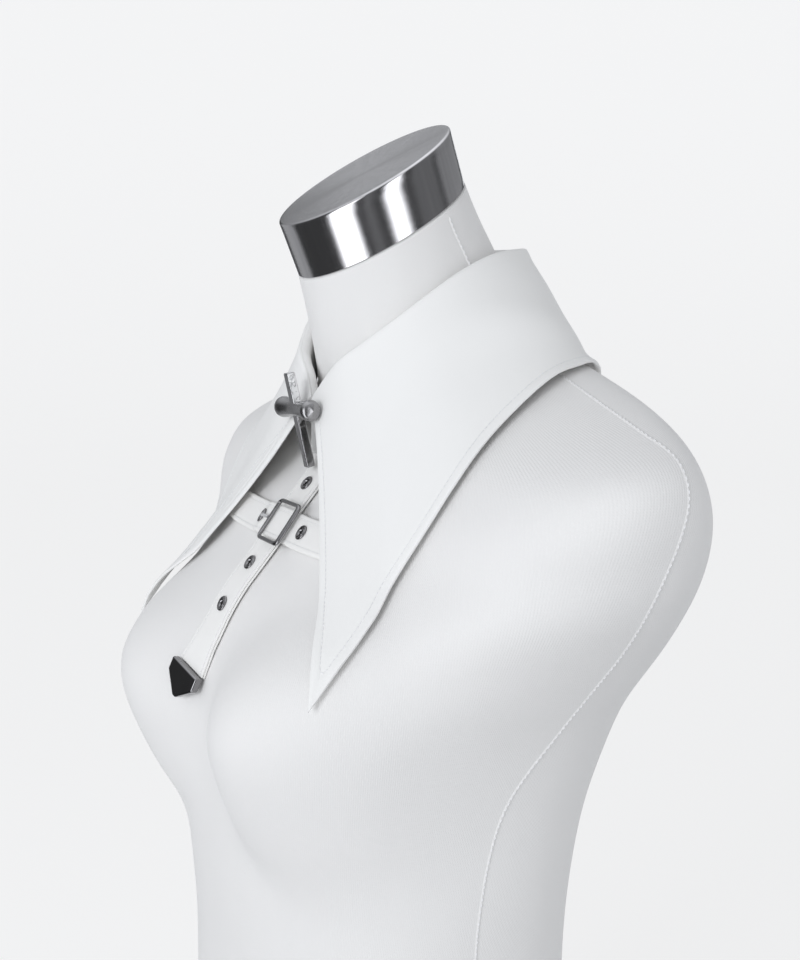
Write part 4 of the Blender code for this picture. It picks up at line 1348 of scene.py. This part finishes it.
def make_cap():
    along = np.array([0, -math.sin(CAP_LEAN), math.cos(CAP_LEAN)])
    back = np.array([0, math.cos(NECK_TOP_TILT), math.sin(NECK_TOP_TILT)])
    side = np.array([1.0, 0, 0])
    foot = CAP_FOOT + np.array(neck_way) * PIECE_GAP
    profile = cap_profile()
    round_length = math.tau * CAP_RADIUS_HIGH
    points, cloth = [], []
    for (rise, radius), travelled in zip(profile, lengths_along(np.array(profile))):
        for n, (c, s) in enumerate(circle(CAP_SIDES)):
            points.append(foot + along * rise + (side * c + back * s) * radius)
            cloth.append((round_length * n / CAP_SIDES, travelled))
    last = (len(profile) - 1) * CAP_SIDES
    faces = ring_faces(len(profile), CAP_SIDES, False)
    faces += [tuple(reversed(range(CAP_SIDES))), tuple(range(last, last + CAP_SIDES))]
    cap = write_mesh("neck_cap", points, faces, steel, cloth, sharp=40)
    close_seam(cap.data, round_length)
    return cap


dressed(make_cap(), "neck_cap_steel", "form_neck_cap")

# %% [markdown]
# ## Stitches
# Every row of sewing is the same thing: a line on the cloth, cut into equal steps, with a short bead of
# thread lying along it at each step. Geometry Nodes make them all from loose lines. What changes is the
# pitch, the stitch's length and the thread's thickness, so those are the tree's inputs.

# %% Stitch tree
StitchKind = namedtuple("StitchKind", "pitch length thread")
TOPSTITCH = StitchKind(2.6, 2.0, 0.24)
STRAP_STITCH = StitchKind(2.2, 1.7, 0.19)
JERSEY_STITCH = StitchKind(3.0, 2.1, 0.30)


def stitch_tree():
    net, given = new_tree("running_stitches", ("Pitch", "Length", "Thread radius"), "Thread")
    line = net.node("GeometryNodeMeshToCurve", mesh=given["Geometry"])
    steps = net.node("GeometryNodeResampleCurve", {"mode": "LENGTH"}, curve=line, length=given["Pitch"])
    thick = given["Thread radius"]
    scale = net.node("ShaderNodeCombineXYZ", x=given["Length"] * 0.5, y=thick, z=thick)
    ball = net.node("GeometryNodeMeshUVSphere", segments=8, rings=6, radius=1.0)
    bead = net.node("GeometryNodeTransform", geometry=ball, scale=scale)
    way = net.node("GeometryNodeInputTangent")
    turn = net.node("FunctionNodeAlignEulerToVector", {"axis": "X"}, vector=way)
    set_on_points(net, steps, bead, turn, given["Thread"])
    return net.tree


stitch_maker = stitch_tree()


def sewn(name, lines, kind, slot_name):
    """Rows of stitches along lines of points."""
    points, edges = [], []
    for line in lines:
        edges += [(len(points) + k, len(points) + k + 1) for k in range(len(line) - 1)]
        points += list(line)
    values = {"Pitch": kind.pitch * MM, "Length": kind.length * MM, "Thread radius": kind.thread * MM,
              "Thread": thread}
    made = grown(loose(name, points, edges), stitch_maker, values, slot_name)
    print(name, "triangles", sum(len(face.vertices) - 2 for face in made.data.polygons))


# %% Rows on the fall and the straps
STITCH_STANDS = 0.35
CROWDED = 0.6


def reaching(edge, points, inset):
    """The first place along a run of points that lies at the inset from the sewn edge."""
    for k in range(1, len(edge)):
        if edge[k - 1] < inset <= edge[k]:
            f = (inset - edge[k - 1]) / (edge[k] - edge[k - 1])
            return points[k - 1] + (points[k] - points[k - 1]) * f
    return None


def fall_row(inset):
    """A line on the fall's outer face that follows its front and outer edges at the inset."""
    half = seam_profile(np.full(fall_grid.shape[:2], inset), LEAF_WALL, TOPSTITCH_INSET)
    lift = out_sign * (half + TOPSTITCH.thread * STITCH_STANDS)
    face = fall_grid + grid_normals(fall_grid) * lift[..., None]
    wide, long = fall_grid.shape[:2]
    near = [reaching(fall_edge[:, j], face[:, j], inset) for j in range(LEAF_START, long)]
    outer = [reaching(fall_edge[i, ::-1], face[i, ::-1], inset) for i in range(wide)]
    far = [reaching(fall_edge[::-1, j], face[::-1, j], inset) for j in range(long - 1, LEAF_START - 1, -1)]
    return [p for p in near + outer + far if p is not None]


def without_backsteps(line, reach):
    """The line without the points that crowd together or turn back at its corners."""
    kept = [line[0]]
    for point in line[1:]:
        step = point - kept[-1]
        if np.linalg.norm(step) < reach:
            continue
        if len(kept) > 1 and step @ (kept[-1] - kept[-2]) < 0:
            kept[-1] = point
            continue
        kept.append(point)
    return kept


def strap_rows(face, end):
    inset = face.width / 2 - STRAP_STITCH_INSET
    stops = strap_stops(STRAP_STEP, end - STRAP_STEP)
    return [[face.place(along, across, STRAP_WALL / 2) for along in stops] for across in (-inset, inset)]


sewn("fall_stitches", [without_backsteps(fall_row(TOPSTITCH_INSET), CROWDED)], TOPSTITCH, "collar_cotton")
strap_lines = strap_rows(hanging, hanging_end) + strap_rows(chest, chest_end)
sewn("strap_stitches", strap_lines, STRAP_STITCH, "strap_cotton")

# %% [markdown]
# ### The form's seams
# The cover is sewn from a front and a back. Its seam runs down the side of the neck, along the top of the
# shoulder, round the arm's stump and down the body, and shows as a fine raised welt with a row of
# stitches on it. The table gives the left one by its places, which are then moved onto the form, and the
# right one is its mirror image.

# %% Form seams
SeamRow = namedtuple("SeamRow", "x y height")
SIDE_SEAM = (
    SeamRow(42, -21, 100), SeamRow(43, -17, 92), SeamRow(45, -10, 77), SeamRow(47, -1, 60),
    SeamRow(52, 6, 40), SeamRow(72, 14, 19), SeamRow(106, 16, 5), SeamRow(149, 11, -7),
    SeamRow(177, 8, -15), SeamRow(198, 10, -25), SeamRow(205, 10, -41), SeamRow(203, 7, -60),
    SeamRow(190, 3, -90), SeamRow(164, 2, -122), SeamRow(138, -6, -155), SeamRow(125, -25, -190),
    SeamRow(120, -33, -219), SeamRow(120, -38, -248), SeamRow(119, -39, -270), SeamRow(118, -38, -305),
    SeamRow(119, -34, -345), SeamRow(133, -28, -390), SeamRow(150, -22, -435), SeamRow(161, -18, -485),
    SeamRow(163, -16, -536),
)
SEAM_STEP = 3.0
WELT_HALF = 0.75
WELT_RISE = 0.40
WELT_SIDES = 6
THREAD_STANDS = 0.2


def on_form(points):
    """Places moved onto the form's smooth surface, and the way out at each."""
    laid = [smooth_surface.find_nearest(Vector(point))[:2] for point in points]
    return np.array([place for place, _ in laid]), np.array([normal for _, normal in laid])


def seam_line():
    """The left seam's line, in equal steps."""
    rough = spline_at(SIDE_SEAM, np.linspace(0, len(SIDE_SEAM) - 1, 12 * len(SIDE_SEAM)))
    lengths = lengths_along(rough)
    stops = np.linspace(0, lengths[-1], round(lengths[-1] / SEAM_STEP))
    return np.stack([np.interp(stops, lengths, rough[:, k]) for k in range(3)], -1)


def welt(points, normals):
    """A low, rounded ridge along a line on the form."""
    shell = []
    for k, (point, normal) in enumerate(zip(points, normals)):
        across = unit(np.cross(heading(points, k), normal))
        shell += [point + across * WELT_HALF * c + normal * WELT_RISE * s for c, s in circle(WELT_SIDES)]
    count = len(points)
    ends = [tuple(range(WELT_SIDES)), tuple(range((count - 1) * WELT_SIDES, count * WELT_SIDES))]
    return shell, ring_faces(count, WELT_SIDES, False) + ends


seam_left = seam_line()
welt_points, welt_faces, stitch_lines = [], [], []
for flip in (np.ones(3), MIRROR):
    points, normals = on_form(seam_left * flip)
    shell, faces = welt(points, normals)
    welt_faces += [tuple(k + len(welt_points) for k in f) for f in faces]
    welt_points += shell
    stitch_lines.append(points + normals * (WELT_RISE + JERSEY_STITCH.thread * THREAD_STANDS))
dressed(write_mesh("form_welts", welt_points, welt_faces, form_jersey), "form_jersey")
sewn("form_stitches", stitch_lines, JERSEY_STITCH, "form_jersey")

# %% [markdown]
# ## Cloth facts
# Each sheet prints the size that it was cut to before it was worn, and the area of the cloth that is shown.


def declare_sheet(piece, length, width, area, **facts):
    print(piece.name, "cut", round(length, 3), "by", round(width, 3), "area", round(area, 4))


declare_sheet(fall, 0.50, 0.19, sheet_area(fall_grid), held="draped", rests_on=["collar_stand", "form_body"])
declare_sheet(stand, stand_length * MM, 0.038, sheet_area(stand_grid), held="draped", rests_on=["form_body"])

# %% [markdown]
# ## Floor and light
# The form stands on a plain pale floor that sweeps up behind it on every side, so that no line shows
# where floor and wall meet. Cloth and metal want different rooms. The cloth is lit by a soft, even sky, a
# little stronger in front, with one soft lamp near the camera for the shadows. The metals instead reflect
# a dark room with a pale ceiling and narrow upright strips, which give the steel its white bands. One
# world holds both, and a Light Path node tells it which a ray is asking for. The floor itself is left out
# of reflections and of the light that bounces.

# %% Studio
COOL_LIGHT = (0.962, 0.985, 1.022)
FLOOR_RADIUS = 3.2
SWEEP_RADIUS = 1.6
SWEEP_STEPS = 12
FLOOR_SIDES = 96
WALL_HEIGHT = 2.0
FLOOR_GLOW = 0.665


def pale_floor():
    finish = Finish("studio_floor", roughness=0.9, specular_ior_level=0.1)
    finish.set("Base Color", (0.36, 0.36, 0.36))
    finish.set("Emission Color", (1.0, 1.0, 1.0))
    finish.set("Emission Strength", FLOOR_GLOW)
    profile = [(x, 0.0) for x in (0.0, 0.5, 1.5, FLOOR_RADIUS)]
    for c, s in circle(4 * SWEEP_STEPS)[1:SWEEP_STEPS + 1]:
        profile.append((FLOOR_RADIUS + SWEEP_RADIUS * s, SWEEP_RADIUS * (1 - c)))
    profile.append((FLOOR_RADIUS + SWEEP_RADIUS, SWEEP_RADIUS + WALL_HEIGHT))
    bm = bmesh.new()
    line = [bm.verts.new((x, 0.0, z)) for x, z in profile]
    edges = [bm.edges.new(pair) for pair in zip(line, line[1:])]
    bmesh.ops.spin(bm, geom=line + edges, cent=(0, 0, 0), axis=(0, 0, 1), angle=math.tau, steps=FLOOR_SIDES)
    bmesh.ops.remove_doubles(bm, verts=bm.verts, dist=1e-5)
    bmesh.ops.recalc_face_normals(bm, faces=bm.faces)
    mesh = bpy.data.meshes.new("studio_floor")
    bm.to_mesh(mesh)
    bm.free()
    mesh.shade_smooth()
    mesh.materials.append(finish.material)
    floor = linked("studio_floor", mesh)
    floor.visible_glossy = False
    floor.visible_diffuse = False


KEY_PLACE = Vector((0.85, -1.46, 0.80))
KEY_AIM = Vector((0.0, 0.0, 0.5))
KEY_SIDE = 0.7
KEY_POWER = 11.0


def key_light():
    light = bpy.data.lights.new("key_light", "AREA")
    light.shape = "RECTANGLE"
    light.size, light.size_y = KEY_SIDE, KEY_SIDE
    light.energy = KEY_POWER
    light.color = COOL_LIGHT
    made = linked("key_light", light)
    made.location = KEY_PLACE
    made.rotation_euler = (KEY_PLACE - KEY_AIM).to_track_quat("Z", "Y").to_euler()
    made.visible_glossy = False


# The soft light that falls on cloth: its mean, what it gains along x and y, what it gains again behind, and what it
# loses overhead and below.
ROUND_LIGHT = 0.62
LIGHT_ALONG_X = 0.07
LIGHT_ALONG_Y = -0.18
BACK_FILL = 0.42
POLE_LOSS = 0.30

# One row for each upright strip that the metals reflect: its bearing and half width in degrees, and its brightness.
StripRow = namedtuple("StripRow", "bearing half_width brightness")
STRIPS = (
    StripRow(-68.0, 18.5, 2.8),
    StripRow(1.0, 11.0, 2.8),
    StripRow(100.0, 30.0, 0.22),
    StripRow(-31.0, 9.0, 0.13),
    StripRow(45.0, 20.0, 0.10),
    StripRow(150.0, 14.0, 1.0),
    StripRow(-168.0, 20.0, 0.36),
)
STRIP_SOFTNESS = 3.0
STRIP_TOP = 0.22
STRIP_FADE = 6.0
METAL_DARK = 0.085
METAL_CEILING = 1.8
CEILING_FROM = 0.25
METAL_BELOW = 0.08
BELOW_MOST = 0.3


def studio_world():
    """Soft light for cloth, and a darker room with upright bright strips for what the metals reflect."""
    world = bpy.data.worlds.new("studio")
    world.use_nodes = True
    net = Network(world.node_tree)
    x, y, z = net.split(net.node("ShaderNodeTexCoord", output=0))
    soft = x * LIGHT_ALONG_X + y * LIGHT_ALONG_Y + ROUND_LIGHT + y.at_least(0.0) * BACK_FILL - z * z * POLE_LOSS
    bearing = y.maths("ARCTAN2", x) * (180 / math.pi)
    below = (0.0 - z).at_least(0.0).at_most(BELOW_MOST)
    room = (z - CEILING_FROM).at_least(0.0) * METAL_CEILING + METAL_DARK - below * METAL_BELOW
    low = (1.0 - (z - STRIP_TOP).at_least(0.0) * STRIP_FADE).at_least(0.0)
    for strip in STRIPS:
        away = (bearing - strip.bearing).size()
        inside = ((strip.half_width - away) / STRIP_SOFTNESS).at_least(0.0).at_most(1.0)
        room = room + inside * low * strip.brightness
    reflected = net.node("ShaderNodeLightPath", output=3)
    ground = net.tree.nodes["Background"]
    plug(net.tree, ground.inputs[0], COOL_LIGHT)
    plug(net.tree, ground.inputs[1], soft + reflected * (room - soft))
    bpy.context.scene.world = world


pale_floor()
studio_world()
key_light()
bpy.context.scene.view_settings.view_transform = "Standard"
